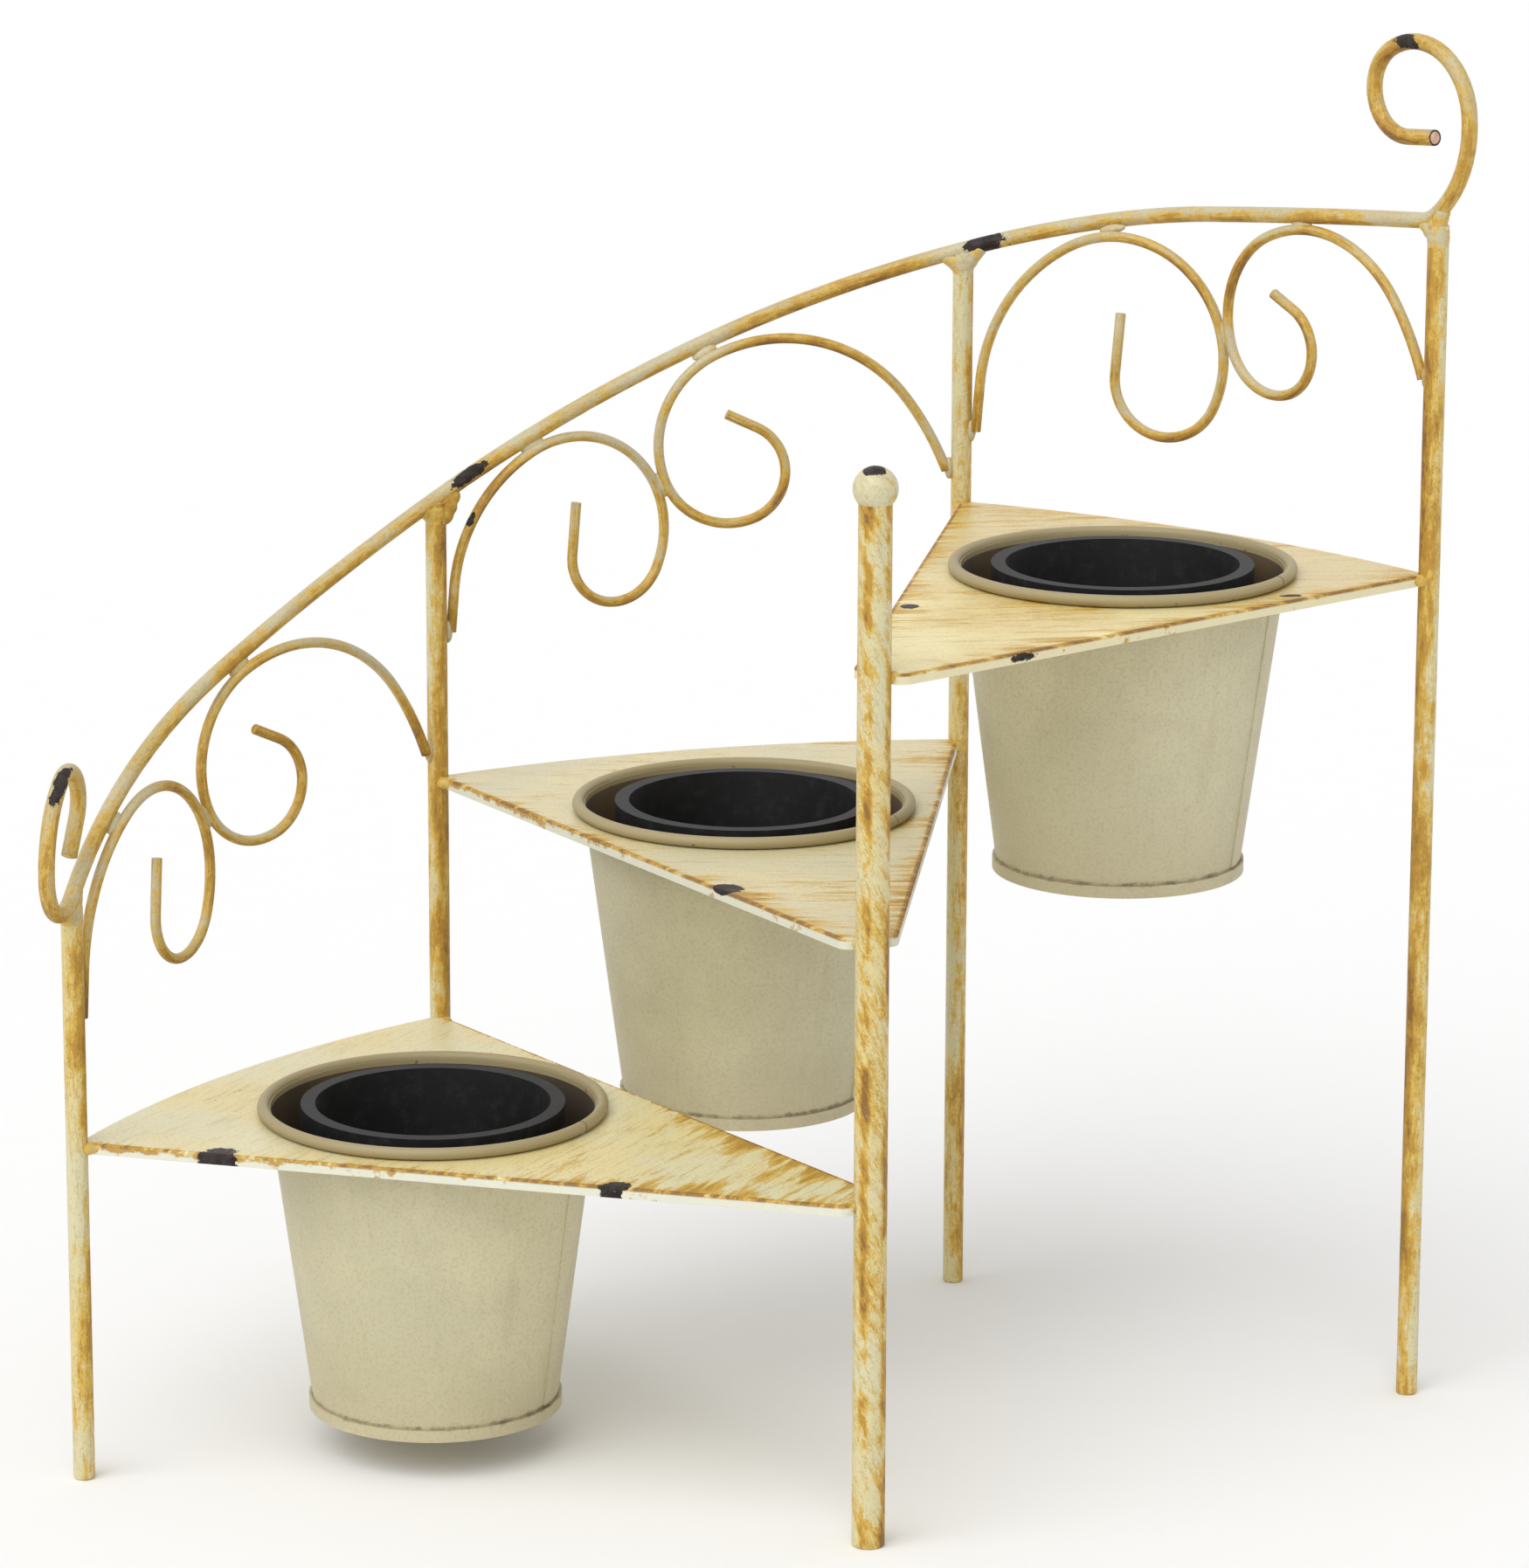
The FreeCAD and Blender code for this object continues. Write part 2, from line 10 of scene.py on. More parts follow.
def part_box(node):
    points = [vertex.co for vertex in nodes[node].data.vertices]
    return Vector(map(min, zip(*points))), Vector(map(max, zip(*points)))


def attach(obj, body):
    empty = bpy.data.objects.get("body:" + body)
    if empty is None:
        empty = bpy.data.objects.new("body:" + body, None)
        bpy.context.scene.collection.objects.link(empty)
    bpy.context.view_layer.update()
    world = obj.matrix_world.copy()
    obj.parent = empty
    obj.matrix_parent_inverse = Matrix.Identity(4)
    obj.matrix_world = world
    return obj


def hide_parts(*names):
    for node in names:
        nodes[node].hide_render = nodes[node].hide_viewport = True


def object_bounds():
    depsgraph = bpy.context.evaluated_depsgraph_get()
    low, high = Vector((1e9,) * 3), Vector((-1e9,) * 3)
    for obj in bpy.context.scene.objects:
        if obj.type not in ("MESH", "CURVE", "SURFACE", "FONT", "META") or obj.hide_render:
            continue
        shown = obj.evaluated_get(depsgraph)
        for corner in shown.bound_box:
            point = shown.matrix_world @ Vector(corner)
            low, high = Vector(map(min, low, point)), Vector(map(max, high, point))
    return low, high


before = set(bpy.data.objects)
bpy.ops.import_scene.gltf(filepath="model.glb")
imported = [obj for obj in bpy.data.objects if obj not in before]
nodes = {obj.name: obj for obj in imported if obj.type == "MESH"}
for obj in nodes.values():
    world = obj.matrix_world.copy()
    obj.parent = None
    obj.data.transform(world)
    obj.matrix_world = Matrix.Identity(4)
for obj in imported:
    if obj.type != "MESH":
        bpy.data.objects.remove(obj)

# Tiered plant stand: the welded frame in cream paint with an ochre wash, its three
# tin pots and their black liners. Lengths are in metres, angles in degrees.

cad_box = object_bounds()
MM = 0.001
FRAME_BODY = "stand_frame"
TIERS = (1, 2, 3)
POSTS = ("a", "b", "c", "d")
SCROLLS = [f"{side}_scroll_{tier}" for tier in TIERS for side in ("low", "high")]
CHIPPED_SCROLL = "low_scroll_2"

# View of the photograph, 1750 pixels wide and 1795 high
PICTURE_HEIGHT = 1795
FOCAL_PIXELS = 7521
SENSOR = 36.0
CAMERA_TURN = -13.25
CAMERA_RISE = 13.87
CAMERA_ROLL = 0.18
CAMERA_DISTANCE = 2.2917
CAMERA_TARGET = Vector((-0.0370, 0.0087, 0.2812))

# Soft studio light on a white floor
SUN_TURN = -46.0
SUN_RISE = 50.0
SUN_SOFTNESS = 60.0
SUN_LEVEL = 1.7
SKY_LEVEL = 0.66
SKY_SEEN_LEVEL = 1.0
FLOOR_REACH = 14.0
FLOOR_SIDES = 64
FLOOR_COLOUR = (0.93, 0.93, 0.93)
FLOOR_DIMMEST = 0.985
FLOOR_NOISE = (40.0, 3.0)
FLOOR_ROUGHNESS = 0.9
FLOOR_RELIEF = 0.02 * MM

# Sizes of the part that the finish follows
SHELF_TIP_REACH = 3 * MM
SHELF_TIP_HALF_WIDTH = 10 * MM
POT_WALL = 0.8 * MM
POT_FOOT_RADIUS = 45.5 * MM
POT_TOP_RADIUS = 61.0 * MM
POT_PAN_HEIGHT = 4.6 * MM
POST_RADIUS = 4 * MM
CENTRE_POST_RADIUS = 6 * MM
RAIL_RADIUS = 3 * MM

# Paint colours: each ground is a pale and a yellow cream
ROD_GROUND = ((0.555, 0.495, 0.315), (0.53, 0.41, 0.175))
POST_GROUND = ((0.665, 0.615, 0.37), (0.71, 0.565, 0.225))
BALL_GROUND = ((0.62, 0.585, 0.39), (0.65, 0.59, 0.36))
SHELF_GROUNDS = {
    1: ((0.76, 0.715, 0.46), (0.80, 0.68, 0.33)),
    2: ((0.66, 0.60, 0.375), (0.73, 0.63, 0.35)),
    3: ((0.89, 0.785, 0.41), (0.80, 0.63, 0.265)),
}
LIP_COLOURS = {1: (0.75, 0.755, 0.62), 2: (0.70, 0.70, 0.56), 3: (0.80, 0.73, 0.47)}
CREAM_OLIVE = (0.48, 0.42, 0.20)
GOLD = (0.66, 0.425, 0.058)
OCHRE = (0.46, 0.245, 0.021)
RUST = (0.21, 0.092, 0.014)
PRIMER = (0.020, 0.013, 0.011)
PRIMER_GREY = (0.042, 0.034, 0.031)
BARE_END = (0.72, 0.47, 0.32)
POT_LIGHT = (0.655, 0.605, 0.395)
POT_CREAM = (0.545, 0.505, 0.325)
POT_BROWN = (0.36, 0.285, 0.155)
# Dark brown for grime at the hem and nicks on the rim, and for darker patches of painted shade inside the pot
POT_GRIME_AND_SHADE = (0.13, 0.085, 0.042)
POT_RIM = (0.355, 0.29, 0.15)
# Painted shade: dark brown for the pot's inside wall, which is cream but in shadow
POT_INSIDE_SHADE = (0.070, 0.052, 0.034)
# Painted shade: each pot's cream is dimmed by tier, most for tier 2, standing in for the shelf above shading
# it
POT_SHADE_TONES = {1: 1.0, 2: 0.92, 3: 0.98}
LINER_BLACK = (0.008, 0.008, 0.0085)
LINER_DUSTY = (0.024, 0.025, 0.026)

# Looks of the painted pieces: amount of wash, strength of the hair lines, and flaking
RAIL_LOOK = (0.08, 0.8, 0.4)
SCROLL_LOOK = (0.08, 0.75, 0.4)
CENTRE_LOOK = (-0.025, 0.9, 0.35)
BALL_LOOK = (-0.12, 0.4, 0.3)
WELD_LOOK = (0.05, 0.2, 0.15)
PALE_WELD_LOOK = (-0.05, 0.5, 0.4)
POST_LINES = 0.7
POST_FLAKING = 0.35
SHELF_LINES = 0.6
SHELF_FLAKING = 0.12

# Outer posts: wash, and the side that has more of it (1 is +X, -1 is -X)
POST_LOOKS = {"a": (0.01, 1), "b": (0.12, 1), "c": (0.03, 1), "d": (0.05, -1)}
POST_SIDE_WASH = 0.10

# Shelves: turn of the strokes, wash, how far it runs in from the sides, the share of
# that run in the outer part, and the wash added there
SHELF_LOOKS = {
    1: (48.0, -0.045, 34 * MM, 0.15, -0.10),
    2: (-13.0, -0.07, 24 * MM, 0.4, -0.03),
    3: (-5.0, -0.13, 26 * MM, 0.6, 0.10),
}
# Darker cream towards a shelf's outer corners: its colour, its share, and the
# distances from the centre post where it starts and is full
SHELF_TINT = (0.66, 0.53, 0.26)
SHELF_TINT_SHARES = {1: 0.2, 2: 0.0, 3: 0.8}
SHELF_TINT_DEPTH = (0.10, 0.20)

# Noises: grain per metre, detail and, where it isn't the usual one, roughness
NOISE_MIDDLE = 0.5
PATCH_NOISE = (21.0, 3.0, 0.5)
FLAKE_NOISE = (240.0, 5.0, 0.72)
SPECK_NOISE = (760.0, 4.0, 0.65)
DAB_NOISE = (110.0, 5.0, 0.7)
TORN_NOISE = (420.0, 6.0, 0.75)
BITTEN_NOISE = (150.0, 2.0, 0.5)
STRETCH_NOISE = (27.0, 2.0, 0.5)
WOBBLE_NOISE = (30.0, 2.0)
BARE_END_NOISE = (700.0, 3.0)
POT_MOTTLE_NOISE = (820.0, 5.0, 0.68)
POT_CLOUD_NOISE = (13.0, 4.0, 0.55)
POT_STREAK_NOISE = (110.0, 5.0, 0.6)
POT_HEM_NOISE = (170.0, 5.0, 0.7)
POT_NICK_NOISE = (190.0, 5.0, 0.7)
LINER_RING_NOISE = (300.0, 3.0, 0.6)
LINER_DUST_NOISE = (150.0, 6.0, 0.72)

# Brush strokes: fineness of the three kinds, then detail, roughness and distortion
BROAD = 1.0
THIN = 2.4
HAIR = 4.6
UPRIGHT_STROKE = (5.0, 0.6, 0.25)
ROD_STROKE = (5.0, 0.62, 0.3)
SHELF_STROKE = (5.0, 0.62, 0.25)
# Grain of the strokes round a bent rod and, per metre, along it; grain and shape on a shelf
ROD_STROKE_GRAIN = 1.25
ROD_STROKE_RUN = 42.0
SHELF_STROKE_GRAIN = 21.0
SHELF_STROKE_SHAPE = (1.0, 8.0, 8.0)
# Upright strokes: wobble of their twist, then stretch, twist in degrees for each metre,
# and grain per metre
STROKE_WOBBLE = 12 * MM
POST_STROKES = (6.0, 0.0, 240.0)
CENTRE_STROKES = (4.0, 4200.0, 225.0)
WELD_STROKES = (2.0, 0.0, 120.0)

# Amount of wash: shares of the broad and thin strokes and of the patches, and what the stretches along a rod
# and its top add; the top's part is painted shade, paler on top and darker underneath
BROAD_SHARE = 0.62
THIN_SHARE = 0.38
PATCH_SHARE = 0.40
ROD_STRETCH_WASH = 0.5
# Painted shade: rod tops get less wash and under sides more, so the under sides look shaded
ROD_SHADED_UNDERSIDE_WASH = -0.12

# Coats of the antique paint: the values where each starts to show and is full, and
# where there is a third one, how strongly it covers
YELLOW_COAT = (0.38, 0.62)
OLIVE_COAT = (0.52, 0.64, 0.34)
WASH_COATS = (
    ((0.48, 0.57, 0.90), GOLD),
    ((0.56, 0.66, 0.88), OCHRE),
    ((0.68, 0.80, 0.85), RUST),
)
HAIR_LINE = (0.004, 0.022)
HAIR_LINE_WASH = (0.38, 0.50)
HAIR_LINE_RUST = (0.45, 0.6)
SPECK_COAT = (0.50, 0.66, 0.20)
FLAKE_COAT = (0.58, 0.70)
FLAKE_COVER = 0.45
LIP_PATCHES = 0.35
LIP_DABS = (0.76, 0.86, 0.9)
LIP_COVER = 0.94
GREY_PRIMER_COAT = (0.42, 0.6)

# Shine and relief of the antique paint
ROUGHER_WASH = (0.45, 0.75)
PAINT_ROUGHNESS = (0.36, 0.52)
PRIMER_ROUGHER = 0.10
PAINT_SHINE = 0.5
PRIMER_SHINE = 0.2
HAIR_RELIEF = 0.6
STROKE_RELIEF = 0.22 * MM
SPECK_RELIEF = 0.08 * MM
CHIP_DEPTH = 0.3 * MM

# Upright stripes on the centre post, after a turn to the front: middle of each as a
# share of the radius, and its wash; then their edges, and the noise that breaks them
STRIPE_TURN = 13.25
STRIPES = ((-0.38, 0.24), (0.92, 0.26))
STRIPE_EDGE = (0.08, 0.42)
STRIPE_STRETCH = 0.30
STRIPE_NOISE = (0.8, 4.0, 0.6)
STRIPE_BREAKS = (0.36, 0.60)

# Wash at a shelf's sides: where the tip ends, how it runs in along the strokes, and a
# broken line on the very edge
SHELF_TIP_DEPTH = (0.05, 0.17)
RUN_FINENESS = 1.1
RUN_RISE = (0.34, 0.70)
SHORTEST_RUN = 4 * MM
GATHERED_RUN = (0.0, 1.1)
GATHERED_WASH = (0.11, 0.16)
EDGE_LINE = (0.9 * MM, 2.1 * MM)
EDGE_LINE_FINENESS = 1.7
EDGE_LINE_BREAKS = (0.30, 0.58)
EDGE_LINE_WASH = 0.24

# Turned-down lip of a shelf: depths below its top, and stains near its lower post
LIP_DEEP = 1.5 * MM
LIP_SHALLOW = 0.6 * MM
STAIN_DEEP = 3.2 * MM
STAIN_SHALLOW = 1.6 * MM
STAIN_REACH = (0.03, 0.16)
STAIN_AMOUNT = 0.16

# Chips down to the dark primer: place, half length along the rod and spread round it
RAIL_CHIPS = (
    ((-0.0936, 0.2718, 0.3411), 8.0 * MM, 0.95),
    ((0.1171, 0.2792, 0.4244), 9.5 * MM, 1.5),
    ((0.2323, 0.1288, 0.5188), 5.0 * MM, 1.3),
    ((-0.2690, 0.1200, 0.2672), 8.5 * MM, 0.9),
)
SCROLL_CHIPS = (((-0.0909, 0.2732, 0.3248), 3.0 * MM, 0.8),)

# Chips on the shelves and the ball: place and half sizes; small ones are less ragged
FULLY_RAGGED_SIZE = 4 * MM
SHELF_CHIPS = {
    1: (
        ((-0.2179, 0.1075, 0.1280), (9.0 * MM, 6.5 * MM, 6.0 * MM)),
        ((-0.0850, 0.0384, 0.1280), (5.5 * MM, 4.5 * MM, 6.0 * MM)),
    ),
    2: (((-0.0340, 0.0800, 0.2250), (6.5 * MM, 6.5 * MM, 2.0 * MM)),),
    3: (
        ((0.1803, 0.0902, 0.3200), (4.5 * MM, 2.5 * MM, 3.0 * MM)),
        ((0.0391, 0.1028, 0.3210), (3.5 * MM, 4.0 * MM, 3.0 * MM)),
        ((0.0627, 0.0194, 0.3190), (8.0 * MM, 5.0 * MM, 2.4 * MM)),
    ),
}
BALL_CHIPS = (((-0.0010, -0.0035, 0.3945), (6.2 * MM, 5.0 * MM, 3.0 * MM)),)
CHIP_TEARS = 1.7
CHIP_BITES = 1.6
CHIP_EDGE = (0.88, 0.94)

# Cut end of the upper curl: how a sharp rim is told, bare metal and its dark rim
SHARP_RIM_COSINE = 0.5
CUT_END_REACH = 2.2 * RAIL_RADIUS
BARE_END_TEARS = 0.5 * MM
BARE_END_EDGE = (2.4 * MM, 2.7 * MM)
DARK_RIM_EDGE = (3.1 * MM, 3.4 * MM)

# Pot paint, with heights as shares of the pot's
POT_LIGHT_COAT = (0.34, 0.66)
POT_MOTTLE_COAT = (0.46, 0.64, 0.30)
POT_STREAK_SHAPE = (1.0, 1.0, 0.06)
POT_STREAK_COAT = (0.52, 0.74, 0.20)
POT_SPOT_COAT = (0.68, 0.76, 0.35)
POT_FOOT_SHARE = (0.0, 0.42)
POT_FOOT_BROWN = 0.36
POT_HEM_SHARE = 0.044
POT_HEM_TEARS = -0.05
POT_HEM_EDGE = (-0.032, -0.017)
POT_HEM_GRIME = 0.75
POT_RIM_SHARE = (0.955, 0.966)
POT_RIM_STREAKS = (0.5, 0.7, 0.5)
POT_RIM_NICKS = (0.60, 0.66, 0.8)
POT_NICK_TOP_SHARE = 0.976
POT_INSIDE_WALL_SHARES = (0.3, 0.6)
POT_INSIDE_TOP_SHARE = 0.966
# Patches of darker painted shade on the pot's inside wall
POT_INSIDE_SHADE_PATCHES = (0.4, 0.6)
POT_ROUGHNESS = (0.40, 0.58)
POT_STREAK_RELIEF = 0.8
POT_RELIEF = 0.12 * MM

# Plastic of the liners
LINER_RING_SHAPE = (0.1, 0.1, 1.0)
LINER_DUST = (0.46, 0.78)
LINER_ROUGHNESS = (0.48, 0.68)
LINER_SHINE = 0.3
LINER_RELIEF = 0.08 * MM

# Copies of the rods and beads, and points taken on each edge of a rod
MERGE_REACH = 0.02 * MM
SMOOTH_ANGLE = 40.0
EDGE_POINTS = 12

# Melted weld metal
BLOB_SUBDIVISIONS = 3
MELT_VOXEL = 0.4 * MM
SOFTENING_STEPS = 12
SWELL_GRAIN = 4 * MM
SWELL_MIDDLE = 0.35
RAIL_WELD_SWELLING = 0.25 * MM
SMALL_WELD_SWELLING = 0.4 * MM
# Blobs of a rail weld, in millimetres: drop below the crossing and radius on the post,
# then run along the rail, drop and radius in its corners
POST_BLOBS = ((9.0, 4.1), (6.5, 4.3), (4.0, 4.2))
CORNER_BLOBS = ((2.5, 4.8, 3.6), (4.5, 3.0, 3.3), (6.5, 1.6, 3.0))
UPHILL_POST = "b"
UPHILL_BLOBS = ((4.0, 8.0, 4.2), (6.5, 6.0, 3.9), (9.0, 3.4, 3.4))
# Other welds: what counts as near a post or the rods, and radii of the blobs along the
# rod or web, across it and through it
NEAR_POST = 2.2 * POST_RADIUS
NEAR_RODS = 9 * MM
SCROLL_BLOB = (5.5 * MM, 2.2 * MM, 1.6 * MM)
SCROLL_POST_BLOB = (4.6 * MM, 1.8 * MM, 1.8 * MM)
SHELF_BLOB = (2.7 * MM, 2.7 * MM, 2.4 * MM)
WEB_BLOB = (5.0 * MM, 2.6 * MM, 2.2 * MM)
WEB_SHIFT = 3.5 * MM
WEB_LEAST_RADIUS = 100 * MM
POST_KNOT = Vector((0.0018, -0.0060, 0.1994))
KNOT_BLOB = (1.5 * MM, 1.2 * MM, 1.8 * MM)
UPRIGHT = Matrix.Identity(3)
UP_A_POST = Matrix(((0, 0, 1), (1, 0, 0), (0, 1, 0))).transposed()


def deselect():
    if bpy.context.object and bpy.context.object.mode != "OBJECT":
        bpy.ops.object.mode_set(mode="OBJECT")
    bpy.ops.object.select_all(action="DESELECT")


def make_active(piece):
    deselect()
    piece.select_set(True)
    bpy.context.view_layer.objects.active = piece


def cover(piece, material):
    piece.data.materials.clear()
    piece.data.materials.append(material)


def axis_of(node):
    """Middle of a node's box."""
    low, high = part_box(node)
    return (Vector(low) + Vector(high)) / 2


class Finish:
    """A procedural material, with short ways to add and join its nodes."""

    def __init__(self, name):
        self.material = bpy.data.materials.new(name)
        self.material.use_nodes = True
        self.tree = self.material.node_tree
        self.shader = self.tree.nodes["Principled BSDF"]
        self.place = self.add("ShaderNodeTexCoord").outputs["Object"]

    def add(self, kind, **settings):
        node = self.tree.nodes.new(kind)
        for name, value in settings.items():
            setattr(node, name, value)
        return node

    def feed(self, socket, value):
        if isinstance(value, bpy.types.NodeSocket):
            self.tree.links.new(value, socket)
        else:
            socket.default_value = value

    def math(self, operation, first, second=0.0, third=0.0):
        node = self.add("ShaderNodeMath", operation=operation)
        for socket, value in zip(node.inputs, (first, second, third)):
            self.feed(socket, value)
        return node.outputs[0]

    def plus(self, first, second):
        return self.math("ADD", first, second)

    def minus(self, first, second):
        return self.math("SUBTRACT", first, second)

    def times(self, first, second):
        return self.math("MULTIPLY", first, second)

    def over(self, first, second):
        return self.math("DIVIDE", first, second)

    def rest(self, share):
        """What a share leaves of the whole."""
        return self.minus(1.0, share)

    def raised(self, start, value, factor):
        """Start plus a value times a factor."""
        return self.math("MULTIPLY_ADD", value, factor, start)

    def swayed(self, start, noise, factor):
        """Start moved up and down by a noise."""
        return self.raised(start, self.minus(noise, NOISE_MIDDLE), factor)

    def span(self, share, low, high):
        """Number that goes from low to high as the share goes from 0 to 1."""
        return self.raised(low, share, high - low)

    def rise(self, value, low, high):
        """0 below a low value, 1 above a high one, smooth between them."""
        node = self.add("ShaderNodeMapRange", interpolation_type="SMOOTHSTEP")
        self.feed(node.inputs["Value"], value)
        self.feed(node.inputs["From Min"], low)
        self.feed(node.inputs["From Max"], high)
        return node.outputs[0]

    def fall(self, value, low, high):
        """1 below a low value, 0 above a high one, smooth between them."""
        return self.rest(self.rise(value, low, high))

    def coat(self, value, low, high, cover_share):
        """0 below a low value, the cover's share above a high one, smooth between them."""
        return self.times(self.rise(value, low, high), cover_share)

    def largest(self, shares):
        total = shares[0]
        for share in shares[1:]:
            total = self.math("MAXIMUM", total, share)
        return total

    def vector(self, operation, first, second=(0, 0, 0)):
        node = self.add("ShaderNodeVectorMath", operation=operation)
        self.feed(node.inputs[0], first)
        self.feed(node.inputs[1], second)
        gives_number = operation in ("LENGTH", "DOT_PRODUCT", "DISTANCE")
        return node.outputs["Value" if gives_number else "Vector"]

    def split(self, vector):
        node = self.add("ShaderNodeSeparateXYZ")
        self.feed(node.inputs[0], vector)
        return node.outputs

    def join(self, x, y, z):
        node = self.add("ShaderNodeCombineXYZ")
        for socket, value in zip(node.inputs, (x, y, z)):
            self.feed(socket, value)
        return node.outputs[0]

    def turned(self, vector, turn):
        """Vector turned about the upright axis, by degrees or by a socket in radians."""
        node = self.add("ShaderNodeVectorRotate", rotation_type="Z_AXIS")
        self.feed(node.inputs["Vector"], vector)
        angle = math.radians(turn) if isinstance(turn, (int, float)) else turn
        self.feed(node.inputs["Angle"], angle)
        return node.outputs[0]

    def noise(self, vector, grain, detail, roughness=0.55, distortion=0.0, along=None):
        dimensions = "3D" if along is None else "4D"
        node = self.add("ShaderNodeTexNoise", noise_dimensions=dimensions)
        self.feed(node.inputs["Vector"], vector)
        self.feed(node.inputs["Scale"], grain)
        self.feed(node.inputs["Detail"], detail)
        self.feed(node.inputs["Roughness"], roughness)
        self.feed(node.inputs["Distortion"], distortion)
        if along is not None:
            self.feed(node.inputs["W"], along)
        return node.outputs["Fac"]

    def facing(self):
        """Direction that a bent rod faces, kept on its mesh."""
        return self.add("ShaderNodeAttribute", attribute_name="facing").outputs["Vector"]

    def along(self):
        """Distance along a bent rod, kept on its mesh."""
        return self.add("ShaderNodeAttribute", attribute_name="along").outputs["Fac"]

    def mix(self, share, first, second):
        node = self.add("ShaderNodeMix", data_type="RGBA")
        self.feed(node.inputs["Factor"], share)
        for socket, value in ((node.inputs[6], first), (node.inputs[7], second)):
            self.feed(socket, (*value, 1.0) if isinstance(value, tuple) else value)
        return node.outputs[2]

    def bump(self, height, depth, below=None):
        node = self.add("ShaderNodeBump")
        self.feed(node.inputs["Height"], height)
        self.feed(node.inputs["Distance"], depth)
        if below is not None:
            self.feed(node.inputs["Normal"], below)
        return node.outputs[0]

    def shine(self, level):
        self.feed(self.shader.inputs["Specular IOR Level"], level)

    def finish(self, colour, roughness, normal):
        self.feed(self.shader.inputs["Base Color"], colour)
        self.feed(self.shader.inputs["Roughness"], roughness)
        self.feed(self.shader.inputs["Normal"], normal)
        return self.material


def ragged_share(paint, distance, raggedness=1.0):
    """Share inside a distance of 1, with a torn edge."""
    torn = paint.noise(paint.place, *TORN_NOISE)
    bitten = paint.noise(paint.place, *BITTEN_NOISE)
    edge = paint.swayed(distance, torn, CHIP_TEARS * raggedness)
    edge = paint.swayed(edge, bitten, CHIP_BITES * raggedness)
    return paint.fall(edge, *CHIP_EDGE)


def spot_chips(chips):
    """Chips given by place and half sizes."""

    def shares(paint):
        found = []
        for place, half_sizes in chips:
            offset = paint.vector("SUBTRACT", paint.place, place)
            reach = paint.vector("DIVIDE", offset, half_sizes)
            raggedness = min(1.0, min(half_sizes) / FULLY_RAGGED_SIZE)
            found.append(ragged_share(paint, paint.vector("LENGTH", reach), raggedness))
        return paint.largest(found)

    return shares


def rod_chips(rod, chips):
    """Chips that run along a bent rod, each given by a place near it, a half length and a spread."""
    mesh = rod.data
    spots = []
    for place, length, spread in chips:
        nearest = min(mesh.vertices, key=lambda vertex: (vertex.co - Vector(place)).length)
        along = mesh.attributes["along"].data[nearest.index].value
        spots.append((along, tuple(nearest.normal), length, spread))

    def shares(paint):
        facing = paint.facing()
        along = paint.along()
        found = []
        for start, normal, length, spread in spots:
            down = paint.over(paint.minus(along, start), length)
            round_it = paint.over(paint.vector("DISTANCE", facing, normal), spread)
            distance = paint.vector("LENGTH", paint.join(down, round_it, 0.0))
            found.append(ragged_share(paint, distance))
        return paint.largest(found)

    return shares


def washed(paint, colour, amount):
    """Colour under a wash that goes from gold to rust as its amount grows."""
    for coat, wash_colour in WASH_COATS:
        colour = paint.mix(paint.coat(amount, *coat), colour, wash_colour)
    return colour


def hair_lined(paint, colour, hair, amount, patch, strength):
    """Colour crossed by the thin dark lines of single brush hairs, where there is wash."""
    ridge = paint.math("ABSOLUTE", paint.minus(hair, NOISE_MIDDLE))
    line = paint.fall(ridge, *HAIR_LINE)
    line = paint.times(line, paint.rise(amount, *HAIR_LINE_WASH))
    line_colour = paint.mix(paint.rise(patch, *HAIR_LINE_RUST), OCHRE, RUST)
    return paint.mix(paint.times(line, strength), colour, line_colour)


def lipped(paint, colour, patch, share, lip_colour, stain):
    """Colour with the lip's own paint over its share, dabbed with ochre."""
    dabs = paint.raised(paint.noise(paint.place, *DAB_NOISE), patch, LIP_PATCHES)
    dabs = paint.coat(paint.plus(dabs, stain), *LIP_DABS)
    edge = paint.mix(dabs, lip_colour, OCHRE)
    return paint.mix(paint.times(share, LIP_COVER), colour, edge)


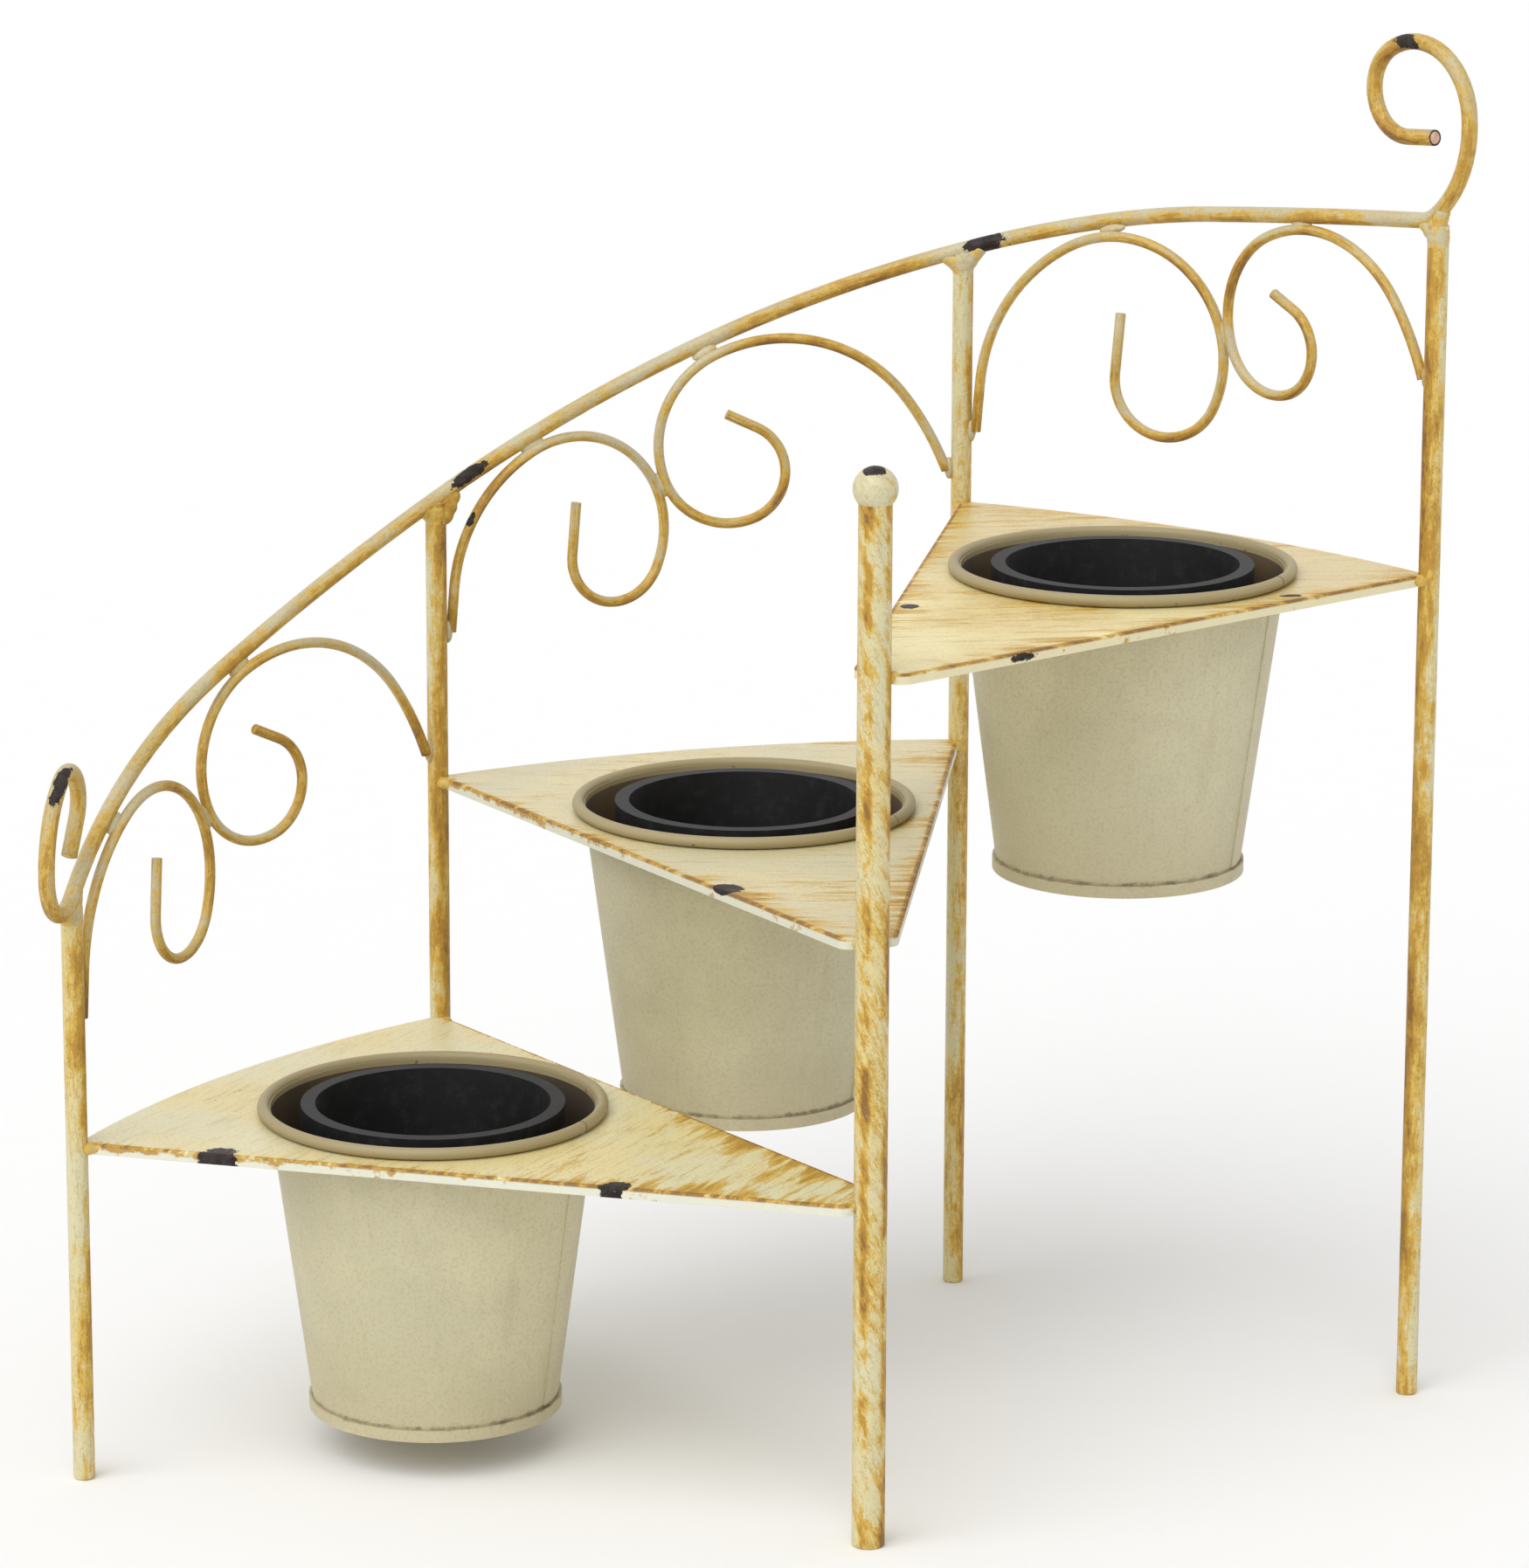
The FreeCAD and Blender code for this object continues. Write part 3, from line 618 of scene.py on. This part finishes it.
def antique_paint(name, strokes, ground, look, more=None, lip=None, chips=None, bare=None, tint=None):
    """Cream paint under an ochre wash.

    The strokes give noise along the brush. The look is the wash, the hair lines and the
    flaking. More adds to the wash, the lip gives a share, a colour and a stain, chips
    show the primer, bare metal shows at a cut end, and the tint is a share of darker cream.
    """
    wash, lines, flaking = look
    paint = Finish(name)
    patch = paint.noise(paint.place, *PATCH_NOISE)
    flake = paint.noise(paint.place, *FLAKE_NOISE)
    speck = paint.noise(paint.place, *SPECK_NOISE)
    broad, thin, hair = [strokes(paint, fineness) for fineness in (BROAD, THIN, HAIR)]
    colour = paint.mix(paint.rise(patch, *YELLOW_COAT), *ground)
    colour = paint.mix(paint.coat(thin, *OLIVE_COAT), colour, CREAM_OLIVE)
    if tint is not None:
        colour = paint.mix(tint(paint), colour, SHELF_TINT)
    amount = paint.raised(paint.times(broad, BROAD_SHARE), thin, THIN_SHARE)
    amount = paint.swayed(amount, patch, PATCH_SHARE)
    amount = paint.swayed(amount, flake, flaking)
    amount = paint.plus(amount, wash)
    if more is not None:
        amount = paint.plus(amount, more(paint))
    colour = washed(paint, colour, amount)
    colour = hair_lined(paint, colour, hair, amount, patch, lines)
    colour = paint.mix(paint.coat(speck, *SPECK_COAT), colour, RUST)
    colour = paint.mix(paint.coat(flake, *FLAKE_COAT, FLAKE_COVER * flaking), colour, ground[0])
    if lip is not None:
        colour = lipped(paint, colour, patch, *lip(paint))
    rough = paint.span(paint.rise(amount, *ROUGHER_WASH), *PAINT_ROUGHNESS)
    relief = paint.bump(paint.plus(thin, paint.times(hair, HAIR_RELIEF)), STROKE_RELIEF)
    relief = paint.bump(paint.plus(speck, flake), SPECK_RELIEF, relief)
    if bare is not None:
        inner, rim = bare(paint)
        colour = paint.mix(rim, colour, PRIMER)
        colour = paint.mix(inner, colour, BARE_END)
    if chips is not None:
        chip = chips(paint)
        primer = paint.mix(paint.rise(flake, *GREY_PRIMER_COAT), PRIMER, PRIMER_GREY)
        colour = paint.mix(chip, colour, primer)
        rough = paint.raised(rough, chip, PRIMER_ROUGHER)
        paint.shine(paint.span(chip, PAINT_SHINE, PRIMER_SHINE))
        relief = paint.bump(paint.rest(chip), CHIP_DEPTH, relief)
    return paint.finish(colour, rough, relief)


def upright_strokes(stretch, twist, grain):
    """Strokes that run up a post, turning round it by so many degrees for each metre."""

    def strokes(paint, fineness):
        x, y, z = paint.split(paint.place)
        wobble = paint.noise(paint.place, *WOBBLE_NOISE)
        turn = paint.times(paint.raised(z, wobble, STROKE_WOBBLE), math.radians(twist))
        flat = paint.turned(paint.join(x, y, 0.0), turn)
        level = paint.over(z, stretch)
        place = paint.vector("ADD", flat, paint.join(0.0, 0.0, level))
        return paint.noise(place, grain * fineness, *UPRIGHT_STROKE)

    return strokes


def rod_strokes(paint, fineness):
    """Strokes that run along a bent rod."""
    run = paint.times(paint.along(), ROD_STROKE_RUN)
    return paint.noise(paint.facing(), ROD_STROKE_GRAIN * fineness, *ROD_STROKE, run)


def rod_wash_and_shade(paint):
    """Wash in stretches that come and go along a rod, plus painted shade: more wash on the under side and
    less on the top, in place of their shading.
    """
    stretches = paint.noise(paint.place, *STRETCH_NOISE)
    # Painted shade: more wash on the under side of the rod, less on its top
    shaded_under_side = paint.times(paint.split(paint.facing())[2], ROD_SHADED_UNDERSIDE_WASH)
    return paint.swayed(shaded_under_side, stretches, ROD_STRETCH_WASH)


def post_side(name, towards):
    """More wash on one side of a post than on the other."""
    axis = axis_of("outer_post_" + name)

    def side(paint):
        offset = paint.vector("SUBTRACT", paint.place, tuple(axis))
        return paint.times(paint.split(offset)[0], POST_SIDE_WASH * towards / POST_RADIUS)

    return side


def centre_stripes(paint):
    """Broken upright stripes of wash on the centre post."""
    to_front = paint.turned(paint.place, STRIPE_TURN)
    x, y, z = paint.split(paint.vector("DIVIDE", to_front, (CENTRE_POST_RADIUS,) * 3))
    stripes = []
    for middle, wash in STRIPES:
        away = paint.math("ABSOLUTE", paint.minus(x, middle))
        stripes.append(paint.times(paint.fall(away, *STRIPE_EDGE), wash))
    stretched = paint.join(x, y, paint.times(z, STRIPE_STRETCH))
    broken = paint.rise(paint.noise(stretched, *STRIPE_NOISE), *STRIPE_BREAKS)
    return paint.times(paint.largest(stripes), broken)


def shelf_strokes(turn):
    """Long strokes across a shelf, brushed at a turn from the X axis."""

    def strokes(paint, fineness):
        grain = paint.vector("MULTIPLY", paint.turned(paint.place, -turn), SHELF_STROKE_SHAPE)
        return paint.noise(grain, SHELF_STROKE_GRAIN * fineness, *SHELF_STROKE)

    return strokes


def shelf_posts(tier):
    """Places of the two outer posts that carry a shelf, and the way out between them from the centre post."""
    low_post = axis_of("outer_post_" + POSTS[tier - 1]).xy
    high_post = axis_of("outer_post_" + POSTS[tier]).xy
    return low_post, high_post, (low_post.normalized() + high_post.normalized()).normalized()


def shelf_tint(tier):
    """Share of darker cream, which grows towards a shelf's outer corners."""
    outwards = shelf_posts(tier)[2]

    def tint(paint):
        depth = paint.vector("DOT_PRODUCT", paint.place, (outwards.x, outwards.y, 0.0))
        return paint.coat(depth, *SHELF_TINT_DEPTH, SHELF_TINT_SHARES[tier])

    return tint


def shelf_edges(tier, strokes, reach, outer_reach_share, outer_wash):
    """Wash that gathers at a shelf's sides and runs in along the strokes, less far in its outer part."""
    low_post, high_post, outwards = shelf_posts(tier)
    across = Vector((outwards.y, -outwards.x))

    def more(paint):
        distances = []
        for post, side in ((low_post, -1), (high_post, 1)):
            tip = outwards * SHELF_TIP_REACH + across * side * SHELF_TIP_HALF_WIDTH
            away = (post - tip).normalized()
            inwards = Vector((away.y, -away.x)) * -side
            offset = paint.vector("SUBTRACT", paint.place, (tip.x, tip.y, 0.0))
            distances.append(paint.vector("DOT_PRODUCT", offset, (inwards.x, inwards.y, 0.0)))
        nearest = paint.math("MINIMUM", *distances)
        depth = paint.vector("DOT_PRODUCT", paint.place, (outwards.x, outwards.y, 0.0))
        near_tip = paint.fall(depth, *SHELF_TIP_DEPTH)
        run_in = paint.coat(strokes(paint, RUN_FINENESS), *RUN_RISE, reach)
        run_in = paint.times(run_in, paint.span(near_tip, outer_reach_share, 1.0))
        run_share = paint.over(nearest, paint.plus(run_in, SHORTEST_RUN))
        gathered = paint.fall(run_share, *GATHERED_RUN)
        line = paint.fall(nearest, *EDGE_LINE)
        line = paint.times(line, paint.rise(strokes(paint, EDGE_LINE_FINENESS), *EDGE_LINE_BREAKS))
        spread = paint.times(gathered, paint.span(near_tip, *GATHERED_WASH))
        spread = paint.plus(spread, paint.span(near_tip, outer_wash, 0.0))
        return paint.raised(spread, line, EDGE_LINE_WASH)

    return more


def shelf_lip(tier):
    """Share on the turned-down lip, its colour, and more stains on it towards its lower post."""
    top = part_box(f"shelf_{tier}")[1][2]
    corner = axis_of("outer_post_" + POSTS[tier - 1])

    def lip(paint):
        height = paint.split(paint.place)[2]
        share = paint.fall(height, top - LIP_DEEP, top - LIP_SHALLOW)
        away = paint.vector("DISTANCE", paint.place, (corner.x, corner.y, top))
        upper = paint.rise(height, top - STAIN_DEEP, top - STAIN_SHALLOW)
        stain = paint.times(paint.fall(away, *STAIN_REACH), upper)
        return share, LIP_COLOURS[tier], paint.times(stain, STAIN_AMOUNT)

    return lip


def merged_copy(node, name):
    """Copy of a node's mesh with its loose triangles joined."""
    piece = bpy.data.objects.new(name, nodes[node].data.copy())
    bpy.context.scene.collection.objects.link(piece)
    make_active(piece)
    bpy.ops.object.mode_set(mode="EDIT")
    bpy.ops.mesh.select_all(action="SELECT")
    bpy.ops.mesh.remove_doubles(threshold=MERGE_REACH)
    bpy.ops.object.mode_set(mode="OBJECT")
    bpy.ops.object.shade_smooth_by_angle(angle=math.radians(SMOOTH_ANGLE))
    return piece


def distances_from(mesh, start):
    """Shortest way along the mesh's edges from one point to every other."""
    links = [[] for vertex in mesh.vertices]
    for edge in mesh.edges:
        first, second = edge.vertices
        length = (mesh.vertices[first].co - mesh.vertices[second].co).length
        links[first].append((second, length))
        links[second].append((first, length))
    reach = [math.inf] * len(links)
    reach[start] = 0.0
    queue = [(0.0, start)]
    while queue:
        distance, vertex = heapq.heappop(queue)
        if distance > reach[vertex]:
            continue
        for other, length in links[vertex]:
            if distance + length < reach[other]:
                reach[other] = distance + length
                heapq.heappush(queue, (reach[other], other))
    return reach


def painted_rod(node):
    """Bent rod whose mesh keeps how far along it each point lies and which way it faces."""
    rod = merged_copy(node, node + "_painted")
    mesh = rod.data
    first_sweep = distances_from(mesh, 0)
    start = max(range(len(first_sweep)), key=lambda index: first_sweep[index])
    along = mesh.attributes.new("along", "FLOAT", "POINT")
    along.data.foreach_set("value", distances_from(mesh, start))
    facing = mesh.attributes.new("facing", "FLOAT_VECTOR", "POINT")
    facing.data.foreach_set("vector", [number for vertex in mesh.vertices for number in vertex.normal])
    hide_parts(node)
    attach(rod, FRAME_BODY)
    return rod


def highest_end(rod):
    """Middle of the higher of a rod's two cut ends, found by their sharp rims."""
    mesh = rod.data
    faces_at = {}
    for face in mesh.polygons:
        for key in face.edge_keys:
            faces_at.setdefault(key, []).append(face.normal)
    rims = set()
    for key, normals in faces_at.items():
        if len(normals) == 2 and normals[0].dot(normals[1]) < SHARP_RIM_COSINE:
            rims.update(key)
    places = [mesh.vertices[index].co for index in rims]
    top = max(places, key=lambda place: place.z)
    ring = [place for place in places if (place - top).length < CUT_END_REACH]
    return sum(ring, Vector()) / len(ring)


def bare_end(rod):
    """Bare metal on the rod's higher cut end, with a dark rim round it."""
    middle = tuple(highest_end(rod))

    def bare(paint):
        distance = paint.vector("DISTANCE", paint.place, middle)
        torn = paint.raised(distance, paint.noise(paint.place, *BARE_END_NOISE), BARE_END_TEARS)
        return paint.fall(torn, *BARE_END_EDGE), paint.fall(torn, *DARK_RIM_EDGE)

    return bare


def pot_paint(tier):
    """Plain cream paint, browner towards the foot, with a beige rim, grime at the hem, and painted shade on
    the inside wall: dark brown in place of its shading.
    """
    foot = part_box(f"pot_base_{tier}")[0][2]
    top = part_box(f"pot_shell_{tier}")[1][2]
    axis = axis_of(f"pot_base_{tier}")
    # Pot creams dimmed per tier as painted shade from the shelf above
    cream, light = [tuple(POT_SHADE_TONES[tier] * part for part in colour) for colour in (POT_CREAM, POT_LIGHT)]
    paint = Finish(f"pot_paint_{tier}")
    offset = paint.vector("SUBTRACT", paint.place, (axis.x, axis.y, foot))
    x, y, z = paint.split(offset)
    share = paint.over(z, top - foot)
    mottle = paint.noise(paint.place, *POT_MOTTLE_NOISE)
    cloud = paint.noise(paint.place, *POT_CLOUD_NOISE)
    streaks = paint.noise(paint.vector("MULTIPLY", offset, POT_STREAK_SHAPE), *POT_STREAK_NOISE)
    body = paint.mix(paint.rise(cloud, *POT_LIGHT_COAT), cream, light)
    body = paint.mix(paint.coat(mottle, *POT_MOTTLE_COAT), body, POT_BROWN)
    body = paint.mix(paint.coat(streaks, *POT_STREAK_COAT), body, POT_BROWN)
    body = paint.mix(paint.coat(mottle, *POT_SPOT_COAT), body, POT_GRIME_AND_SHADE)
    body = paint.mix(paint.times(paint.fall(share, *POT_FOOT_SHARE), POT_FOOT_BROWN), body, POT_BROWN)
    hem = paint.math("ABSOLUTE", paint.minus(share, POT_HEM_SHARE))
    hem = paint.raised(hem, paint.noise(paint.place, *POT_HEM_NOISE), POT_HEM_TEARS)
    body = paint.mix(paint.times(paint.fall(hem, *POT_HEM_EDGE), POT_HEM_GRIME), body, POT_GRIME_AND_SHADE)
    rim = paint.mix(paint.coat(streaks, *POT_RIM_STREAKS), POT_RIM, POT_BROWN)
    nicks = paint.coat(paint.noise(paint.place, *POT_NICK_NOISE), *POT_RIM_NICKS)
    nicks = paint.times(nicks, paint.math("LESS_THAN", share, POT_NICK_TOP_SHARE))
    rim = paint.mix(nicks, rim, POT_GRIME_AND_SHADE)
    body = paint.mix(paint.rise(share, *POT_RIM_SHARE), body, rim)
    # Painted shade: the inside wall below the rim is turned dark brown in place of its shading
    wall_radius = paint.span(share, POT_FOOT_RADIUS, POT_TOP_RADIUS)
    depth = paint.minus(wall_radius, paint.vector("LENGTH", paint.join(x, y, 0.0)))
    inside = paint.rise(depth, *[part * POT_WALL for part in POT_INSIDE_WALL_SHARES])
    inside = paint.times(inside, paint.math("LESS_THAN", share, POT_INSIDE_TOP_SHARE))
    inside = paint.times(inside, paint.math("GREATER_THAN", z, POT_PAN_HEIGHT))
    inside_shade_colour = paint.mix(paint.rise(cloud, *POT_INSIDE_SHADE_PATCHES), POT_INSIDE_SHADE, POT_GRIME_AND_SHADE)
    body = paint.mix(inside, body, inside_shade_colour)
    relief = paint.bump(paint.raised(mottle, streaks, POT_STREAK_RELIEF), POT_RELIEF)
    return paint.finish(body, paint.span(mottle, *POT_ROUGHNESS), relief)


def liner_plastic():
    """Black moulded plastic with faint rings and a little dust."""
    plastic = Finish("liner_black")
    rings = plastic.noise(plastic.vector("MULTIPLY", plastic.place, LINER_RING_SHAPE), *LINER_RING_NOISE)
    dust = plastic.noise(plastic.place, *LINER_DUST_NOISE)
    colour = plastic.mix(plastic.rise(dust, *LINER_DUST), LINER_BLACK, LINER_DUSTY)
    plastic.shine(LINER_SHINE)
    relief = plastic.bump(plastic.plus(rings, dust), LINER_RELIEF)
    return plastic.finish(colour, plastic.span(dust, *LINER_ROUGHNESS), relief)


def weld_places(node):
    """Middle of each separate bead of a weld node."""
    merged_copy(node, "beads")
    bpy.ops.object.mode_set(mode="EDIT")
    bpy.ops.mesh.select_all(action="SELECT")
    bpy.ops.mesh.separate(type="LOOSE")
    bpy.ops.object.mode_set(mode="OBJECT")
    places = []
    for bead in bpy.context.selected_objects:
        corners = [Vector(corner) for corner in bead.bound_box]
        places.append(sum(corners, Vector()) / len(corners))
    bpy.ops.object.delete()
    return places


def rod_points(rods):
    """Points spread along the edges of several rods."""
    spread = []
    for rod in rods:
        mesh = nodes[rod].data
        ends = numpy.array([[mesh.vertices[index].co for index in edge.vertices] for edge in mesh.edges])
        for share in numpy.linspace(0.0, 1.0, EDGE_POINTS):
            spread.append(ends[:, 0] + share * (ends[:, 1] - ends[:, 0]))
    return numpy.concatenate(spread)


def run_of(points, place, reach):
    """Axes of the rods near a place: along them, across them in their plane, and square to that plane."""
    near = points[numpy.linalg.norm(points - numpy.array(place), axis=1) < reach]
    near = near - near.mean(axis=0)
    axes = numpy.linalg.eigh(near.T @ near)[1]
    along = Vector(axes[:, 2])
    across = Vector(axes[:, 1])
    return Matrix((along, across, along.cross(across))).transposed()


def melted(node, blobs, swelling):
    """Weld metal melted together from blobs, each with a place, three radii and their axes."""
    made = []
    for place, radii, axes in blobs:
        deselect()
        bpy.ops.mesh.primitive_ico_sphere_add(subdivisions=BLOB_SUBDIVISIONS, radius=1.0)
        blob = bpy.context.object
        blob.matrix_world = Matrix.Translation(place) @ axes.to_4x4() @ Matrix.Diagonal((*radii, 1.0))
        made.append(blob)
    make_active(made[0])
    for blob in made:
        blob.select_set(True)
    bpy.ops.object.transform_apply(location=True, rotation=True, scale=True)
    bpy.ops.object.join()
    lumps = bpy.context.object
    lumps.name = node + "_melted"
    melt = lumps.modifiers.new("melt", "REMESH")
    melt.mode = "VOXEL"
    melt.voxel_size = MELT_VOXEL
    soften = lumps.modifiers.new("soften", "SMOOTH")
    soften.iterations = SOFTENING_STEPS
    swell = lumps.modifiers.new("swell", "DISPLACE")
    swell.texture = bpy.data.textures.new(node + "_swell", "CLOUDS")
    swell.texture.noise_scale = SWELL_GRAIN
    swell.strength = swelling
    swell.mid_level = SWELL_MIDDLE
    for modifier in list(lumps.modifiers):
        bpy.ops.object.modifier_apply(modifier=modifier.name)
    bpy.ops.object.shade_smooth()
    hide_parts(node)
    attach(lumps, FRAME_BODY)
    return lumps


def rail_surface():
    """Search tree over the handrail's faces."""
    mesh = nodes["handrail"].data
    corners = [vertex.co for vertex in mesh.vertices]
    return BVHTree.FromPolygons(corners, [face.vertices for face in mesh.polygons])


def rail_weld_blobs():
    """Blobs that fill the two corners under the rail at each post, most of all uphill of one of them."""
    blobs = []
    surface = rail_surface()
    for name in POSTS:
        axis = axis_of("outer_post_" + name)
        post_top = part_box("outer_post_" + name)[1][2]
        crossing = Vector((axis.x, axis.y, post_top + RAIL_RADIUS / 2))
        along = Vector((axis.y, -axis.x, 0)).normalized()
        corners = [(side, *blob) for side in (-1, 1) for blob in CORNER_BLOBS]
        if name == UPHILL_POST:
            corners += [(1, *blob) for blob in UPHILL_BLOBS]
        for drop, radius in POST_BLOBS:
            blobs.append((crossing - Vector((0, 0, drop * MM)), (radius * MM,) * 3, UPRIGHT))
        for side, run, drop, radius in corners:
            point, normal = surface.find_nearest(crossing + along * (side * run * MM))[:2]
            place = point - normal * RAIL_RADIUS - Vector((0, 0, drop * MM))
            blobs.append((place, (radius * MM,) * 3, UPRIGHT))
    return blobs


def scroll_weld_blobs():
    """Slim blobs that fill the crevice where a scroll runs beside the rail, a post or its partner."""
    points = rod_points(["handrail"] + SCROLLS)
    post_axes = [axis_of("outer_post_" + name).xy for name in POSTS]
    blobs = []
    for place in weld_places("scroll_welds"):
        if min((place.xy - axis).length for axis in post_axes) < NEAR_POST:
            blobs.append((place, SCROLL_POST_BLOB, UP_A_POST))
        else:
            blobs.append((place, SCROLL_BLOB, run_of(points, place, NEAR_RODS)))
    return blobs


def shelf_weld_blobs():
    """Blobs at the shelf tips, webs from the corners to the posts, and a small knot on the centre post."""
    blobs = [(POST_KNOT, KNOT_BLOB, UPRIGHT)]
    for place in weld_places("shelf_welds"):
        blobs.append((place, SHELF_BLOB, UPRIGHT))
        tier = min(TIERS, key=lambda step: abs(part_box(f"shelf_{step}")[1][2] - place.z))
        inwards = (axis_of(f"pot_base_{tier}").xy - place.xy).normalized().to_3d()
        if place.xy.length > WEB_LEAST_RADIUS:
            web = Matrix((inwards, Vector((-inwards.y, inwards.x, 0)), Vector((0, 0, 1)))).transposed()
            blobs.append((place + inwards * WEB_SHIFT, WEB_BLOB, web))
    return blobs


def paint_posts():
    strokes = upright_strokes(*POST_STROKES)
    for name, (wash, towards) in POST_LOOKS.items():
        look = (wash, POST_LINES, POST_FLAKING)
        paint = antique_paint("post_paint_" + name, strokes, POST_GROUND, look, post_side(name, towards))
        cover(nodes["outer_post_" + name], paint)
    strokes = upright_strokes(*CENTRE_STROKES)
    centre_paint = antique_paint("centre_paint", strokes, POST_GROUND, CENTRE_LOOK, centre_stripes)
    cover(nodes["centre_post"], centre_paint)
    chips = spot_chips(BALL_CHIPS)
    cover(nodes["ball_finial"], antique_paint("ball_paint", strokes, BALL_GROUND, BALL_LOOK, chips=chips))


def paint_rods():
    rail = painted_rod("handrail")
    chips = rod_chips(rail, RAIL_CHIPS)
    bare = bare_end(rail)
    rail_paint = antique_paint(
        "rail_paint", rod_strokes, ROD_GROUND, RAIL_LOOK, rod_wash_and_shade, chips=chips, bare=bare
    )
    cover(rail, rail_paint)
    scroll_paint = antique_paint("scroll_paint", rod_strokes, ROD_GROUND, SCROLL_LOOK, rod_wash_and_shade)
    for name in SCROLLS:
        scroll = painted_rod(name)
        paint = scroll_paint
        if name == CHIPPED_SCROLL:
            chips = rod_chips(scroll, SCROLL_CHIPS)
            paint = antique_paint(
                "chipped_paint", rod_strokes, ROD_GROUND, SCROLL_LOOK, rod_wash_and_shade, chips=chips
            )
        cover(scroll, paint)


def paint_shelves():
    for tier, (turn, wash, *edge_look) in SHELF_LOOKS.items():
        strokes = shelf_strokes(turn)
        paint = antique_paint(
            f"shelf_paint_{tier}",
            strokes,
            SHELF_GROUNDS[tier],
            (wash, SHELF_LINES, SHELF_FLAKING),
            more=shelf_edges(tier, strokes, *edge_look),
            lip=shelf_lip(tier),
            chips=spot_chips(SHELF_CHIPS[tier]),
            tint=shelf_tint(tier),
        )
        cover(nodes[f"shelf_{tier}"], paint)


def add_welds():
    strokes = upright_strokes(*WELD_STROKES)
    weld_paint = antique_paint("weld_paint", strokes, ROD_GROUND, WELD_LOOK)
    pale_weld_paint = antique_paint("pale_weld_paint", strokes, ROD_GROUND, PALE_WELD_LOOK)
    cover(melted("rail_welds", rail_weld_blobs(), RAIL_WELD_SWELLING), weld_paint)
    cover(melted("scroll_welds", scroll_weld_blobs(), SMALL_WELD_SWELLING), pale_weld_paint)
    cover(melted("shelf_welds", shelf_weld_blobs(), SMALL_WELD_SWELLING), weld_paint)


def paint_pots():
    plastic = liner_plastic()
    for tier in TIERS:
        paint = pot_paint(tier)
        cover(nodes[f"pot_shell_{tier}"], paint)
        cover(nodes[f"pot_base_{tier}"], paint)
        cover(nodes[f"pot_liner_{tier}"], plastic)


def way_to(turn, rise):
    """Direction towards a camera or lamp at a turn from the front and a rise above level."""
    turn = math.radians(turn)
    rise = math.radians(rise)
    return Vector((math.sin(turn) * math.cos(rise), -math.cos(turn) * math.cos(rise), math.sin(rise)))


def add_camera():
    camera = bpy.data.objects.new("camera", bpy.data.cameras.new("camera"))
    bpy.context.scene.collection.objects.link(camera)
    camera.data.sensor_fit = "VERTICAL"
    camera.data.sensor_height = SENSOR
    camera.data.lens = FOCAL_PIXELS / PICTURE_HEIGHT * SENSOR
    back = way_to(CAMERA_TURN, CAMERA_RISE)
    turn = back.to_track_quat("Z", "Y").to_matrix().to_4x4()
    roll = Matrix.Rotation(math.radians(CAMERA_ROLL), 4, "Z")
    camera.matrix_world = Matrix.Translation(CAMERA_TARGET + back * CAMERA_DISTANCE) @ turn @ roll
    bpy.context.scene.camera = camera


def add_light():
    """Soft sun, and a white surround that is brighter to look at than as a light."""
    sun = bpy.data.objects.new("sun", bpy.data.lights.new("sun", "SUN"))
    bpy.context.scene.collection.objects.link(sun)
    sun.data.energy = SUN_LEVEL
    sun.data.angle = math.radians(SUN_SOFTNESS)
    sun.rotation_euler = way_to(SUN_TURN, SUN_RISE).to_track_quat("Z", "Y").to_euler()
    world = bpy.data.worlds.new("studio")
    bpy.context.scene.world = world
    world.use_nodes = True
    tree = world.node_tree
    rays = tree.nodes.new("ShaderNodeLightPath")
    seen = tree.nodes.new("ShaderNodeMath")
    seen.operation = "MAXIMUM"
    tree.links.new(rays.outputs["Is Camera Ray"], seen.inputs[0])
    tree.links.new(rays.outputs["Is Glossy Ray"], seen.inputs[1])
    level = tree.nodes.new("ShaderNodeMapRange")
    level.inputs["To Min"].default_value = SKY_LEVEL
    level.inputs["To Max"].default_value = SKY_SEEN_LEVEL
    tree.links.new(seen.outputs[0], level.inputs["Value"])
    background = tree.nodes["Background"]
    background.inputs["Color"].default_value = (1.0, 1.0, 1.0, 1.0)
    tree.links.new(level.outputs[0], background.inputs["Strength"])


def add_floor():
    deselect()
    middle = (0, 0, cad_box[0][2])
    bpy.ops.mesh.primitive_circle_add(
        vertices=FLOOR_SIDES, radius=FLOOR_REACH, fill_type="NGON", location=middle
    )
    floor = bpy.context.object
    floor.name = "floor"
    bpy.ops.object.transform_apply(location=True, rotation=True, scale=True)
    paper = Finish("floor_paper")
    grain = paper.noise(paper.place, *FLOOR_NOISE)
    colour = paper.mix(grain, FLOOR_COLOUR, tuple(FLOOR_DIMMEST * part for part in FLOOR_COLOUR))
    cover(floor, paper.finish(colour, FLOOR_ROUGHNESS, paper.bump(grain, FLOOR_RELIEF)))


bpy.context.scene.view_settings.view_transform = "Standard"
paint_posts()
paint_rods()
paint_shelves()
add_welds()
paint_pots()
add_camera()
add_light()
add_floor()
